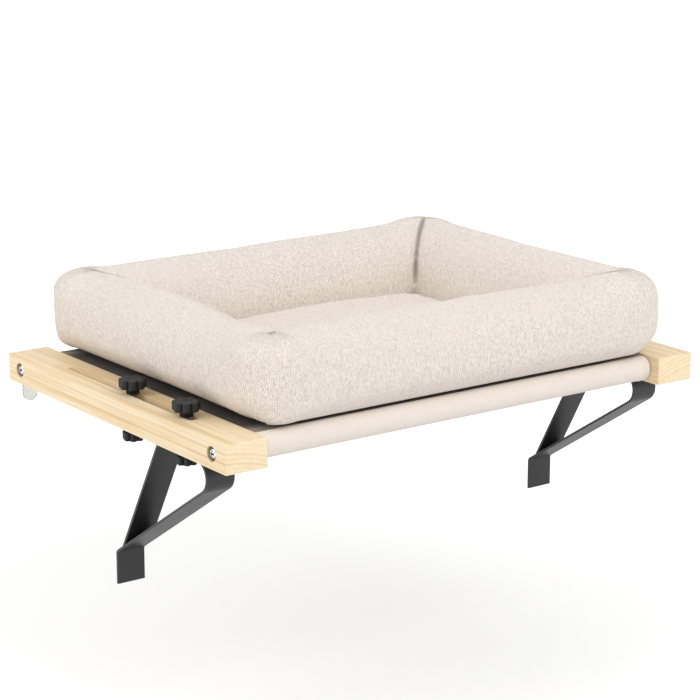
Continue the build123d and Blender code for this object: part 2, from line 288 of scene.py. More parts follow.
def joined(name, parts):
    """Several meshes as one piece."""
    whole = bmesh.new()
    for part in parts:
        whole.from_mesh(part.data)
    mesh = bpy.data.meshes.new(name)
    whole.to_mesh(mesh)
    whole.free()
    made = bpy.data.objects.new(name, mesh)
    bpy.context.scene.collection.objects.link(made)
    for part in parts:
        if part.data.materials[0].name not in [m.name for m in mesh.materials]:
            mesh.materials.append(part.data.materials[0])
    for part in parts:
        bpy.data.objects.remove(part)
    return made


def smooth_step(value, start, end):
    """0 before start and 1 past end, with a soft rise between."""
    share = min(max((value - start) / (end - start), 0.0), 1.0)
    return share * share * (3 - 2 * share)


def bright_metal(name, hex_colour, roughness):
    """Plated or turned metal: mirror-like, faintly clouded by the bath or the tool. The recess
    attribute marks a driver's recess, which is given a painted shade for the shadow that gathers there."""
    bright = new_material(name)
    place = add_node(bright, "TexCoord")["Object"]
    cloud = add_node(bright, "TexNoise", {"Vector": place, "Scale": 1 / metal_cloud, "Detail": 2.0})["Fac"]
    dull = add_node(bright, "MapRange", {
        "Value": cloud, "To Min": roughness * 0.7, "To Max": roughness * 1.4,
    })[0]
    # Painted shade: where the recess attribute says so, the metal turns dark
    recess = add_node(bright, "Attribute", attribute_name="recess")["Fac"]
    metal = add_node(bright, "MixRGB", {
        "Fac": recess, "Color1": linear(hex_colour), "Color2": linear(recess_painted_shade),
    })[0]
    shader = add_node(bright, "BsdfPrincipled", {"Base Color": metal, "Metallic": 1.0, "Roughness": dull})[0]
    add_node(bright, "OutputMaterial", {"Surface": shader})
    return bright


def polar_ring(centre, outward, radius, height):
    """A circle about an X axis through centre. height, a number or a function of the place on the
    head, is measured outwards along the axis."""
    ring = []
    for at in range(screw_columns):
        turn = at / screw_columns * 2 * pi
        across, up = radius * cos(turn), radius * sin(turn)
        high = height(across, up) if callable(height) else height
        ring.append((centre.x + outward * high, centre.y + across, centre.z + up))
    return ring


def cross_recess(across, up):
    """Share of the driver's cross recess at a place on the head, 1 inside its arms."""
    along, aside = max(abs(across), abs(up)), min(abs(across), abs(up))
    in_arm = smooth_step(recess_half_width - aside, -recess_edge, recess_edge)
    return in_arm * smooth_step(recess_reach - along, -recess_edge, recess_edge)


def pan_head(radius):
    """Height of a pan head's top over its seat, with the cross recess cut into it."""
    def top(across, up):
        dome = sqrt(max(0.0, 1 - (hypot(across, up) / radius) ** dome_power))
        along = max(abs(across), abs(up))
        deep = recess_depth * (1 - (1 - recess_floor_share) * along / recess_reach)
        return head_edge + (head_height - head_edge) * dome - deep * cross_recess(across, up)
    return top


screw_zinc = bright_metal("bright zinc-plated steel", zinc_plate, 0.2)
for side, sign in SIDES.items():
    low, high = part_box(f"{side}_rail_screws")
    head_radius = (high.z - low.z) / 2
    seat_x = (high.x if sign > 0 else low.x) - sign * head_height
    shank_length = abs((low.x if sign > 0 else high.x) - seat_x)
    screws = []
    for tube in ("front_tube", "back_tube"):
        bore = box_middle(tube)
        seat = Vector((seat_x, bore.y, bore.z))
        rings = []
        for step in range(1, dome_rings + 1):
            rings.append(polar_ring(seat, sign, head_radius * step / dome_rings, pan_head(head_radius)))
        rings.append(polar_ring(seat, sign, head_radius, head_rim_round))
        rings.append(polar_ring(seat, sign, head_radius - head_rim_round, 0))
        rings.append(polar_ring(seat, sign, shank_radius, 0))
        rings.append(polar_ring(seat, sign, shank_radius, shank_radius / 2 - shank_length))
        rings.append(polar_ring(seat, sign, shank_radius / 2, -shank_length))
        screw = skin(f"screw_{tube}", rings, screw_zinc)
        # The recess attribute carries the painted shade of the cross recess
        marks = screw.data.attributes.new("recess", "FLOAT", "POINT")
        for at, vertex in enumerate(screw.data.vertices):
            across, up = vertex.co.y - seat.y, vertex.co.z - seat.z
            over_seat = sign * (vertex.co.x - seat.x) > head_edge / 2
            marks.data[at].value = cross_recess(across, up) if over_seat else 0.0
        screws.append(screw)
    piece = joined(f"{side}_pan_screws", screws)
    piece.data.shade_smooth()
    piece.data.set_sharp_from_angle(angle=radians(40))
    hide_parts(f"{side}_rail_screws")
    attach(piece, "root")


# Tubes and plugs
# Two welded steel tubes, 22 x 1.5 mm, powder coated black, which spread the rails. A threaded
# nylon plug is pressed into each end and takes the rail screw.
coat_grain = 1.3 * MM
coat_relief = 0.05 * MM
handled_patch = 28 * MM
coat_black = "#29292b"
nylon_black = "#2b2c2e"
nylon_bloom = "#242527"
nylon_grit = 0.45 * MM
grit_relief = 0.04 * MM


def powder_coat(name, hex_colour, roughness):
    """Baked polyester powder: a dense satin film with a low orange-peel ripple."""
    coat = new_material(name)
    place = add_node(coat, "TexCoord")["Object"]
    peel = add_node(coat, "TexNoise", {"Vector": place, "Scale": 1 / coat_grain, "Detail": 1.0})["Fac"]
    ripple = add_node(coat, "Bump", {"Height": peel, "Strength": 0.35, "Distance": coat_relief})[0]
    handled = add_node(coat, "TexNoise", {
        "Vector": place, "Scale": 1 / handled_patch, "Detail": 3.0,
    })["Fac"]
    dull = add_node(coat, "MapRange", {
        "Value": handled, "To Min": roughness - 0.05, "To Max": roughness + 0.06,
    })[0]
    shader = add_node(coat, "BsdfPrincipled", {
        "Base Color": linear(hex_colour), "Roughness": dull, "Normal": ripple, "Specular IOR Level": 0.4,
    })[0]
    add_node(coat, "OutputMaterial", {"Surface": shader})
    return coat


def moulded_nylon(name, hex_colour, roughness):
    """Glass-filled nylon from a spark-eroded mould: near black, with a fine matt grit. The grit is
    drawn several times coarser than it is, so that it shows."""
    nylon = new_material(name)
    place = add_node(nylon, "TexCoord")["Object"]
    grit = add_node(nylon, "TexNoise", {"Vector": place, "Scale": 1 / nylon_grit, "Detail": 2.0})["Fac"]
    matt = add_node(nylon, "Bump", {"Height": grit, "Strength": 0.4, "Distance": grit_relief})[0]
    bloom = add_node(nylon, "MixRGB", {
        "Fac": grit, "Color1": linear(hex_colour), "Color2": linear(nylon_bloom),
    })[0]
    shader = add_node(nylon, "BsdfPrincipled", {
        "Base Color": bloom, "Roughness": roughness, "Normal": matt, "Specular IOR Level": 0.32,
    })[0]
    add_node(nylon, "OutputMaterial", {"Surface": shader})
    return nylon


black_coat = powder_coat("powder-coated steel", coat_black, 0.42)
plug_nylon = moulded_nylon("moulded nylon plug", nylon_black, 0.5)
for place in ("front", "back"):
    dress(frame["nodes"][f"{place}_tube"], black_coat)
    dress(frame["nodes"][f"{place}_tube_plugs"], plug_nylon)


# Sling sleeves
# A strip of beige cotton canvas is folded round each tube and closed along its crest, where the
# panel is sewn on. Both ends are hemmed.
canvas_thread = 1.1 * MM
canvas_light = "#f1e8df"
canvas_shade = "#e0d6ca"
sleeve_cloth = 0.9 * MM
sleeve_play = 0.15 * MM
sleeve_sag = 1.4 * MM
crest_press = 0.35 * MM
sleeve_wrinkle = 0.25 * MM
wrinkles_per_metre = 60
hem_width = 9.0 * MM
hem_swell = 0.35 * MM
hem_fade = (1.0 * MM, 0.6 * MM)
hem_roll = 0.75 * MM
hem_roll_width = 1.2 * MM
hem_seam_inset = 1.6 * MM
hem_seam_start, hem_seam_step, hem_seam_points = 62, 5.2, 60  # degrees round the tube
end_roll_steps = (0.0, 0.12, 0.4, 0.8, 1.2)
sleeve_steps = 236
sleeve_columns = 64
stitch_length = 2.6 * MM
stitch_pitch = 3.6 * MM
stitch_rise, stitch_sink = 1.5, 0.8
stitch_girths = (0.45, 0.95, 1.0, 0.95, 0.45)
stitch_sides = 6
thread_radius = 0.28 * MM
thread_ply = 0.5 * MM
thread_beige, thread_beige_shade = "#efe8de", "#cfc4b4"
weave_relief = 0.22 * MM
weave_range = (-0.6, 1.5)
slub_threads = 9
slub_share = 0.9
crest_seam = radians(100)


def plain_weave(name, light, shade, spacing, roughness, fuzz, wrap=None, lining=None):
    """Woven cloth from crossing sine threads: each thread lifts where the other dips, and a slow
    noise thins and thickens the yarn. Real threads are about half as wide; they are drawn this
    coarse so that they show. Where the attribute of that name says so, a painted light colour is
    mixed in, lightening the cloth where light reaches it. On sewing thread the crossing stands for its
    plies."""
    cloth = new_material(name)
    if wrap is None:
        place = add_node(cloth, "TexCoord")["Object"]
    else:
        place = add_node(cloth, "Attribute", attribute_name=wrap)["Vector"]
    split = add_node(cloth, "SeparateXYZ", {0: place})
    waves = []
    for axis in ("X", "Y"):
        scaled = add_node(cloth, "Math", {0: split[axis], 1: pi / spacing}, operation="MULTIPLY")[0]
        waves.append(add_node(cloth, "Math", {0: scaled}, operation="SINE")[0])
    crossed = add_node(cloth, "Math", {0: waves[0], 1: waves[1]}, operation="MULTIPLY")[0]
    slub = add_node(cloth, "TexNoise", {
        "Vector": place, "Scale": 1 / (slub_threads * spacing), "Detail": 4.0,
    })["Fac"]
    uneven = add_node(cloth, "Math", {0: slub, 1: slub_share, 2: crossed}, operation="MULTIPLY_ADD")[0]
    level = add_node(cloth, "MapRange", {
        "Value": uneven, "From Min": weave_range[0], "From Max": weave_range[1],
    })[0]
    colour = add_node(cloth, "MixRGB", {
        "Fac": level, "Color1": linear(shade), "Color2": linear(light),
    })[0]
    # Painted light: the cloth is lightened where the attribute says so
    if lining is not None:
        lit_share = add_node(cloth, "Attribute", attribute_name="lining")["Fac"]
        colour = add_node(cloth, "MixRGB", {"Fac": lit_share, "Color1": colour, "Color2": linear(lining)})[0]
    threads = add_node(cloth, "Bump", {"Height": level, "Strength": 0.7, "Distance": weave_relief})[0]
    shader = add_node(cloth, "BsdfPrincipled", {
        "Base Color": colour, "Normal": threads, "Roughness": roughness,
        "Sheen Weight": fuzz, "Sheen Roughness": 0.5, "Sheen Tint": linear(light),
    })[0]
    add_node(cloth, "OutputMaterial", {"Surface": shader})
    return cloth


def lay_weave(piece, place):
    """Store each point's place on the flat cloth, in metres, for the weave to follow."""
    stored = piece.data.attributes.new("weave", "FLOAT_VECTOR", "POINT")
    for at, vertex in enumerate(piece.data.vertices):
        stored.data[at].vector = place(vertex.co)


def round_thread(middle, aside, upright, radius, sides):
    """One ring of points round a thread or cord, in the plane of two directions square to it."""
    turns = [2 * pi * n / sides for n in range(sides)]
    return [middle + (aside * cos(turn) + upright * sin(turn)) * radius for turn in turns]


def sew(name, seam, material, length=stitch_length, pitch=stitch_pitch, radius=thread_radius):
    """A row of stitches on a seam, which is a list of (point, normal) pairs. Each stitch dives at
    its ends."""
    run = [0.0]
    for (here, _), (there, _) in zip(seam, seam[1:]):
        run.append(run[-1] + (there - here).length)

    def at_length(travel):
        step = max(1, next((n for n, far in enumerate(run) if far >= travel), len(run) - 1))
        share = (travel - run[step - 1]) / max(run[step] - run[step - 1], 1e-9)
        return seam[step - 1][0].lerp(seam[step][0], share), seam[step][1]

    stitches = []
    last = len(stitch_girths) - 1
    for number in range(int((run[-1] - length) / pitch) + 1):
        rings = []
        for step, girth in enumerate(stitch_girths):
            travel = number * pitch + length * step / last
            centre, normal = at_length(travel)
            ahead, _ = at_length(min(travel + radius, run[-1]))
            behind, _ = at_length(max(travel - radius, 0))
            aside = (ahead - behind).cross(normal).normalized()
            lift = radius * (stitch_rise * sin(pi * step / last) - stitch_sink)
            rings.append(round_thread(centre + normal * lift, aside, normal, radius * girth, stitch_sides))
        stitches.append(skin(f"stitch_{number}", rings, material, sharp=80))
    return joined(name, stitches)


def sleeve_radius_at(x, turn, inside):
    """Radius of the sleeve's cloth; turn 0 is the front, a quarter turn is the crest."""
    below = max(0.0, -sin(turn)) ** 2
    radius = tube_radius + sleeve_play + sleeve_sag * below
    if inside:
        return radius
    ripple = noise.noise(Vector((x * wrinkles_per_metre, cos(turn) * 2, sin(turn) * 2)))
    ripple *= sleeve_wrinkle * (1 - abs(sin(turn)))
    to_end = sleeve_half - abs(x)
    hem = hem_swell * (1 - smooth_step(to_end, hem_width - hem_fade[0], hem_width + hem_fade[1]))
    to_roll = 1 - min(to_end / hem_roll_width, 1.0)
    rolled = hem_roll * (1 - sqrt(max(0.0, 1 - to_roll ** 2)))
    crest = crest_press * max(0.0, sin(turn)) ** 8
    return radius + sleeve_cloth + hem * (1 - max(0.0, sin(turn)) ** 4) - rolled - crest + ripple


def from_crest(co, place, facing):
    """Angle round the tube from the cloth's own seam, which lies under the edge of the panel."""
    turn = atan2(co.z - tube_z, facing * (co.y - tube_ys[place]))
    return (turn - crest_seam) % (2 * pi)


sleeve_canvas = plain_weave(
    "cotton canvas", canvas_light, canvas_shade, canvas_thread, roughness=0.85, fuzz=0.25, wrap="weave",
)
beige_thread = plain_weave(
    "spun polyester thread beige", thread_beige, thread_beige_shade, thread_ply, roughness=0.6, fuzz=0.1,
)
tube_low, tube_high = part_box("front_tube")
tube_radius = (tube_high.z - tube_low.z) / 2
tube_z = (tube_high.z + tube_low.z) / 2
tube_ys = {}
for place in ("front", "back"):
    sleeve_low, sleeve_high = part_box(f"{place}_sleeve")
    sleeve_half = (sleeve_high.x - sleeve_low.x) / 2
    tube_ys[place] = (sleeve_low.y + sleeve_high.y) / 2
    facing = -1 if place == "front" else 1
    xs = [sleeve_half * (2 * n / sleeve_steps - 1) for n in range(sleeve_steps + 1)]
    end_xs = [sleeve_half - step * MM for step in end_roll_steps]
    xs = sorted(set([-x for x in end_xs] + end_xs + xs[2:-2]))
    turns = [2 * pi * n / sleeve_columns for n in range(sleeve_columns)]
    rings = []
    for inside in (False, True):
        for x in reversed(xs) if inside else xs:
            ring = []
            for turn in turns:
                radius = sleeve_radius_at(x, turn, inside)
                ring.append((x, tube_ys[place] + facing * radius * cos(turn), tube_z + radius * sin(turn)))
            rings.append(ring)
    sleeve = skin(f"{place}_sling_sleeve", rings, sleeve_canvas, loop=True, sharp=60)
    lay_weave(sleeve, lambda co: (co.x, from_crest(co, place, facing) * tube_radius, 0))
    hems = []
    for end in SIDES.values():
        hem_x = end * (sleeve_half - hem_width + hem_seam_inset)
        axis = Vector((hem_x, tube_ys[place], tube_z))
        seam = []
        for n in range(hem_seam_points):
            turn = radians(hem_seam_start - n * hem_seam_step)
            normal = Vector((0, facing * cos(turn), sin(turn)))
            seam.append((axis + normal * sleeve_radius_at(hem_x, turn, False), normal))
        hems.append(sew(f"{place}_hem_{end}", seam, beige_thread))
    stitching = joined(f"{place}_sleeve_stitching", hems)
    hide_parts(f"{place}_sleeve")
    for piece in (sleeve, stitching):
        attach(piece, "root")


# Sling panel
# One piece of charcoal polyester cloth, stretched between the sleeves and sewn on over their
# crests with two rows of thread. Its free sides are turned under and hemmed.
panel_thread = 1.0 * MM
panel_light = "#5d5855"
panel_dark = "#3a3734"
# Painted light on the panel where it runs over the sleeves near its sides, where light reaches under the
# bolster
painted_light_grey = "#a89e92"
painted_light_share = 0.78
painted_light_reach = (3 * MM, 26 * MM)
painted_light_corner = (20 * MM, 60 * MM)
panel_cloth = 1.0 * MM
panel_lap = 0.45 * MM
panel_sag = 1.3 * MM
panel_hem = 11.0 * MM
panel_turn = 2.5 * MM
panel_hem_swell = 0.7 * MM
panel_hem_fade = 0.8 * MM
panel_ripple = 0.15 * MM
panel_clearance = 0.03 * MM
panel_seams = (1.4 * MM, 5.0 * MM)
panel_hem_seams = (1.8 * MM, panel_hem - 2.2 * MM)
lap_steps = (0.0, 0.5, 1.0, 2.0, 3.0, 4.0, 6.0, 8.0, 11.0)
lap_zone = 14 * MM
hem_rows_over, hem_rows_under = slice(8, -8), slice(12, -12)
inner_steps = 70
side_steps = 96
hem_steps = (0.6, 1.2, 9.5, 10.2, 11.0, 11.8)
thread_grey, thread_grey_shade = "#4a4a4e", "#2a2a2d"
panel_low, panel_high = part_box("sling_panel")
panel_half = (panel_high.x - panel_low.x) / 2
sleeve_outer = tube_radius + sleeve_play + sleeve_cloth - crest_press
panel_crest = tube_z + sleeve_outer + panel_lap


def sleeve_top(y):
    """Height of the nearest sleeve's outer side at y, or far below where there is none."""
    off = min(abs(y - tube_y) for tube_y in tube_ys.values())
    return tube_z + sqrt(sleeve_outer ** 2 - off ** 2) if off < sleeve_outer else tube_z - 1


def panel_top(x, y):
    """Height of the panel's upper face: over the sleeves, then straight with a slight sag."""
    front, back = tube_ys["front"], tube_ys["back"]
    share = min(max((y - front) / (back - front), 0.0), 1.0)
    across = 1 - (abs(x) / panel_half) ** 4
    flat = panel_crest - panel_sag * 4 * share * (1 - share) * (0.55 + 0.45 * across)
    flat += panel_ripple * noise.noise(Vector((x * 16, y * 5, 0)))
    if y < front or y > back:
        return sleeve_top(y) + panel_lap
    return min(panel_crest, max(flat, sleeve_top(y) + panel_lap))


def panel_under(x, y):
    """Height of its lower face: a cloth's thickness lower, and thicker in the hems."""
    to_side = panel_half - abs(x)
    hem = 1 - smooth_step(to_side, panel_hem - panel_hem_fade, panel_hem + panel_hem_fade)
    lower = panel_top(x, y) - panel_cloth - panel_hem_swell * hem
    return max(lower, sleeve_top(y) + panel_clearance)


sling_cloth = plain_weave(
    "woven polyester", panel_light, panel_dark, panel_thread, roughness=0.72, fuzz=0.15, lining=painted_light_grey,
)
dark_thread = plain_weave(
    "spun polyester thread charcoal", thread_grey, thread_grey_shade, thread_ply, roughness=0.6, fuzz=0.1,
)
lap_front, lap_back = panel_low.y + panel_turn, panel_high.y - panel_turn
inner_depth = lap_back - lap_front - 2 * lap_zone
panel_ys = [lap_front + step * MM for step in lap_steps]
panel_ys += [lap_front + lap_zone + inner_depth * n / inner_steps for n in range(inner_steps + 1)]
panel_ys += [lap_back - step * MM for step in reversed(lap_steps)]
panel_xs = [panel_half * (2 * n / side_steps - 1) for n in range(side_steps + 1)]
hem_xs = [panel_half - step * MM for step in hem_steps]
panel_xs = sorted(set(panel_xs + hem_xs + [-x for x in hem_xs]))
rings = []
for x in panel_xs:
    over = [(x, y, panel_top(x, y)) for y in panel_ys]
    under = [(x, y, panel_under(x, y)) for y in reversed(panel_ys)]
    rings.append(over + under)
panel = skin("sling_cloth", rings, sling_cloth, sharp=50)
# Painted light: share of the lighter colour over the sleeves, near the panel's sides
lining = panel.data.attributes.new("lining", "FLOAT", "POINT")
for at, vertex in enumerate(panel.data.vertices):
    to_sleeve = min(abs(vertex.co.y - tube_y) for tube_y in tube_ys.values())
    near_corner = 1 - smooth_step(panel_half - abs(vertex.co.x), *painted_light_corner)
    lining.data[at].value = painted_light_share * (1 - smooth_step(to_sleeve, *painted_light_reach)) * near_corner
seams = []
upright = Vector((0, 0, 1))
for inset in panel_seams:
    for seam_y in (lap_front + inset, lap_back - inset):
        seam = [(Vector((x, seam_y, panel_top(x, seam_y))), upright) for x in panel_xs[2:-2]]
        seams.append(sew(f"seam_{seam_y:.4f}", seam, dark_thread))
for end in SIDES.values():
    for inset in panel_hem_seams:
        hem_x = end * (panel_half - inset)
        over = [(Vector((hem_x, y, panel_top(hem_x, y))), upright) for y in panel_ys[hem_rows_over]]
        under = [(Vector((hem_x, y, panel_under(hem_x, y))), -upright) for y in panel_ys[hem_rows_under]]
        seams.append(sew(f"hem_over_{end}", over, dark_thread))
        seams.append(sew(f"hem_under_{end}", under, dark_thread))
panel_stitching = joined("sling_stitching", seams)
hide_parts("sling_panel")
for piece in (panel, panel_stitching):
    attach(piece, "root")


# Clear stops
# Soft angles of clear silicone, moulded 3 mm thick. The level leg is stuck under the rail and the
# hanging leg hooks behind the radiator.
silicone_tint = "#cfcec9"
silicone_haze = 4 * MM
haze_roughness = (0.16, 0.3)
stop_bevel = 0.6 * MM


def ease_edges(piece, width):
    """Round the edges of a CAD piece as its making does, without touching its mesh."""
    ease = piece.modifiers.new("Eased edges", "BEVEL")
    ease.width = width
    ease.segments = 3
    ease.limit_method = "ANGLE"
    ease.angle_limit = radians(35)
    ease.harden_normals = True


# Clear silicone is milky, not glassy: light comes through it, and its faces are softly dull
silicone = new_material("clear moulded silicone")
haze_place = add_node(silicone, "TexCoord")["Object"]
haze = add_node(silicone, "TexNoise", {
    "Vector": haze_place, "Scale": 1 / silicone_haze, "Detail": 2.0,
})["Fac"]
haze_rough = add_node(silicone, "MapRange", {
    "Value": haze, "To Min": haze_roughness[0], "To Max": haze_roughness[1],
})[0]
silicone_shader = add_node(silicone, "BsdfPrincipled", {
    "Base Color": linear(silicone_tint), "Roughness": haze_rough, "IOR": 1.41,
    "Transmission Weight": 0.85,
})[0]
add_node(silicone, "OutputMaterial", {"Surface": silicone_shader})
for side in SIDES:
    stop = frame["nodes"][f"{side}_stop"]
    dress(stop, silicone)
    ease_edges(stop, stop_bevel)


# Brackets
# Each is one flat bar, 30 x 2.5 mm, bent cold into plate, round nose, strut and pad, with a flat
# brace welded across it. The whole is powder coated black after welding.
bar_ease = 0.35 * MM
bead_size = 2.2 * MM
bead_ripple = 1.7 * MM
bead_bow = 0.16
bead_steps = 96
bead_end = 1.5 * MM
brace_top_slack = 0.1 * MM
brace_foot = 10 * MM


def weld_bead(name, corner, along_one, along_two, half_width, material):
    """A fillet weld across the bar, in the corner of two faces, with the ripples of its passes."""
    rings = []
    outwards = (along_one + along_two).normalized()
    for step in range(bead_steps + 1):
        across = (2 * step / bead_steps - 1) * half_width
        pass_share = (across / bead_ripple) % 1.0
        to_end = sqrt(1 - (0.999 * across / half_width) ** 8)
        size = bead_size * (0.86 + 0.14 * sin(pi * pass_share)) * to_end
        outline = [Vector((0, 0)), along_one * size]
        for share in (0.25, 0.5, 0.75):
            face_point = along_one.lerp(along_two, share) * size
            outline.append(face_point + outwards * size * bead_bow * sin(pi * share))
        outline.append(along_two * size)
        rings.append([(corner[0] + across, corner[1] + spot.x, corner[2] + spot.y) for spot in outline])
    return skin(name, rings, material, sharp=60)


for side in SIDES:
    strip = frame["nodes"][f"{side}_bracket_strip"]
    brace = frame["nodes"][f"{side}_bracket_brace"]
    for steel in (strip, brace):
        dress(steel, black_coat)
        ease_edges(steel, bar_ease)
    brace_low, brace_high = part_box(f"{side}_bracket_brace")
    centre_x = (brace_low.x + brace_high.x) / 2
    half_bead = (brace_high.x - brace_low.x) / 2 - bead_end
    top_points = [v.co for v in brace.data.vertices if v.co.z > brace_high.z - brace_top_slack]
    foot_points = [v.co for v in brace.data.vertices if v.co.z < brace_high.z - brace_foot]
    top_front = min(co.y for co in top_points)
    top_back = max(co.y for co in top_points)
    foot_back = min(foot_points, key=lambda co: co.z)
    foot_front = min(foot_points, key=lambda co: co.y)
    down_brace = Vector((foot_back.y - top_back, foot_back.z - brace_high.z)).normalized()
    down_strut = Vector((foot_back.y - foot_front.y, foot_back.z - foot_front.z)).normalized()
    corners = (
        (top_front, brace_high.z, Vector((-1, 0)), down_brace),
        (top_back, brace_high.z, Vector((1, 0)), down_brace),
        (foot_front.y, foot_front.z, -down_strut, -down_brace),
        (foot_back.y, foot_back.z, down_strut, -down_brace),
    )
    beads = []
    for number, (y, z, along_one, along_two) in enumerate(corners):
        corner = (centre_x, y, z)
        beads.append(weld_bead(f"bead_{number}", corner, along_one, along_two, half_bead, black_coat))
    welds = joined(f"{side}_bracket_welds", beads)
    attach(welds, f"{side}_bracket")


# Star knobs
# Seven-lobed knobs moulded in black glass-filled nylon, with a round hub on the seat. The upper
# ones are moulded over the head of a stud, and the smaller lower ones over a brass insert.
PLACES = ("front", "rear")
lobe_count = 7
star_turn = radians(33.6)
star_sizes = {"top": (4.2 * MM, 9.3 * MM), "lower": (3.35 * MM, 7.4 * MM)}
valley_fill = 0.35 * MM
valley_reach = (0.36, 0.5)
knob_round = 1.3 * MM
dish_share = 0.42
dish_depth = 0.5 * MM
dish_slope = 1.0 * MM
dish_lip = 0.12 * MM
dish_rim = 0.4 * MM
hub_radius = 6.4 * MM
hub_height = 5.5 * MM
hub_blend = 0.5 * MM
hub_ease = 0.4 * MM
bore_ease = 0.3 * MM
bore_play = 0.03 * MM
centre_hole = 0.05 * MM
star_columns = lobe_count * 26
knob_black = "#161719"
knob_nylon = moulded_nylon("moulded nylon knob", knob_black, 0.52)


def star_radius(turn, lobe_radius, lobe_circle):
    """Distance from the axis to the outline of the lobes, with the valleys blended."""
    off = ((turn - star_turn) * lobe_count / (2 * pi) + 0.5) % 1.0 - 0.5
    angle = off * 2 * pi / lobe_count
    half_chord = sqrt(max(0.0, lobe_radius ** 2 - (lobe_circle * sin(angle)) ** 2))
    valley = smooth_step(abs(off), *valley_reach)
    return lobe_circle * cos(angle) + half_chord + valley * valley_fill


def star_ring(star, inset, z):
    """The outline of the lobes moved inwards by inset, at height z."""
    ring = []
    small = 0.001
    for at in range(star_columns):
        turn = 2 * pi * at / star_columns
        radius = star_radius(turn, *star)
        slope = (star_radius(turn + small, *star) - star_radius(turn - small, *star)) / (2 * small)
        normal = Vector((radius, -slope)).normalized()
        out, aside = radius - normal.x * inset, -normal.y * inset
        ring.append((out * cos(turn) - aside * sin(turn), out * sin(turn) + aside * cos(turn), z))
    return ring


def round_ring(radius, z, count=star_columns, x=0.0, y=0.0):
    """A level circle of points round an upright axis."""
    turns = [2 * pi * n / count for n in range(count)]
    return [(x + radius * cos(turn), y + radius * sin(turn), z) for turn in turns]


def star_knob(name, star, seat, upward, head_top, bore_radius, bore_depth, material):
    """A knob that stands on seat, built from its dished top down to its bore."""
    arc = []
    for degrees in range(0, 91, 18):
        turn = radians(degrees)
        arc.append((knob_round * (1 - sin(turn)), knob_round * (1 - cos(turn))))
    dish_radius = sum(star) * dish_share
    dish_floor = head_top - dish_depth
    rings = [round_ring(centre_hole, dish_floor), round_ring(dish_radius - dish_slope, dish_floor)]
    rings += [round_ring(dish_radius, head_top - dish_lip), round_ring(dish_radius + dish_rim, head_top)]
    rings += [star_ring(star, inset, head_top - drop) for inset, drop in arc]
    rings += [star_ring(star, inset, hub_height + drop) for inset, drop in reversed(arc)]
    rings += [round_ring(hub_radius + hub_blend, hub_height)]
    rings += [round_ring(hub_radius, hub_height - hub_blend)]
    rings += [round_ring(hub_radius, hub_ease), round_ring(hub_radius - hub_ease, 0)]
    rings += [round_ring(bore_radius + bore_ease, 0), round_ring(bore_radius, bore_ease)]
    rings += [round_ring(bore_radius, bore_depth), round_ring(centre_hole, bore_depth)]
    placed = [[(seat.x + x, seat.y + y, seat.z + upward * z) for x, y, z in ring] for ring in rings]
    return skin(name, placed, material, sharp=50)


for side in SIDES:
    for place in PLACES:
        bolt = f"{side}_{place}"
        for level, upward, body in (("top", 1, "upper"), ("lower", -1, "lower")):
            node = f"{bolt}_{level}_knob"
            low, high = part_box(node)
            stud_low, stud_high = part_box(f"{bolt}_stud")
            insert_low, insert_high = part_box(f"{bolt}_insert")
            axis_x = (stud_low.x + stud_high.x) / 2
            axis_y = (stud_low.y + stud_high.y) / 2
            seat = Vector((axis_x, axis_y, low.z if upward > 0 else high.z))
            if upward > 0:
                bore_radius = (stud_high.x - stud_low.x) / 2 + bore_play
                bore_depth = stud_high.z - low.z
            else:
                bore_radius = (insert_high.x - insert_low.x) / 2 + bore_play
                bore_depth = insert_high.z - insert_low.z
            knob = star_knob(
                f"{bolt}_{level}_star_knob", star_sizes[level], seat, upward,
                high.z - low.z, bore_radius, bore_depth, knob_nylon,
            )
            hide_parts(node)
            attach(knob, f"{bolt}_{body}")


# Studs and inserts
# M8 studs with a rolled coarse thread of 1.25 mm, zinc plated, fixed in the upper knobs. The lower
# knobs run on them with turned brass inserts.
thread_pitch = 1.25 * MM
thread_depth = 0.62 * MM
thread_flank_power = 0.85
thread_chamfer = 0.9 * MM
thread_columns = 28
thread_rows = 6
stud_plate = "#b9babd"
brass = "#c9a35a"


def threaded_stud(name, centre, bottom, top, radius, material):
    """A rod whose surface follows the helix of its thread; both ends run out in a chamfer."""
    rings = [round_ring(centre_hole, bottom, thread_columns, *centre)]
    rows = int((top - bottom) / thread_pitch * thread_rows)
    for row in range(rows + 1):
        z = bottom + (top - bottom) * row / rows
        to_end = min(z - bottom, top - z)
        limit = radius - max(0.0, thread_chamfer - to_end)
        ring = []
        for n in range(thread_columns):
            turn = 2 * pi * n / thread_columns
            lead = ((z - bottom) / thread_pitch - n / thread_columns) % 1.0
            groove = thread_depth * abs(2 * lead - 1) ** thread_flank_power
            reach = min(radius - groove, limit)
            ring.append((centre[0] + reach * cos(turn), centre[1] + reach * sin(turn), z))
        rings.append(ring)
    rings.append(round_ring(centre_hole, top, thread_columns, *centre))
    return skin(name, rings, material, sharp=70)


stud_zinc = bright_metal("zinc-plated rolled thread", stud_plate, 0.3)
insert_brass = bright_metal("turned brass", brass, 0.25)
for side in SIDES:
    for place in PLACES:
        bolt = f"{side}_{place}"
        low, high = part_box(f"{bolt}_stud")
        centre = ((low.x + high.x) / 2, (low.y + high.y) / 2)
        radius = (high.x - low.x) / 2
        stud = threaded_stud(f"{bolt}_threaded_stud", centre, low.z, high.z, radius, stud_zinc)
        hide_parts(f"{bolt}_stud")
        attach(stud, f"{bolt}_upper")
        dress(frame["nodes"][f"{bolt}_insert"], insert_brass)


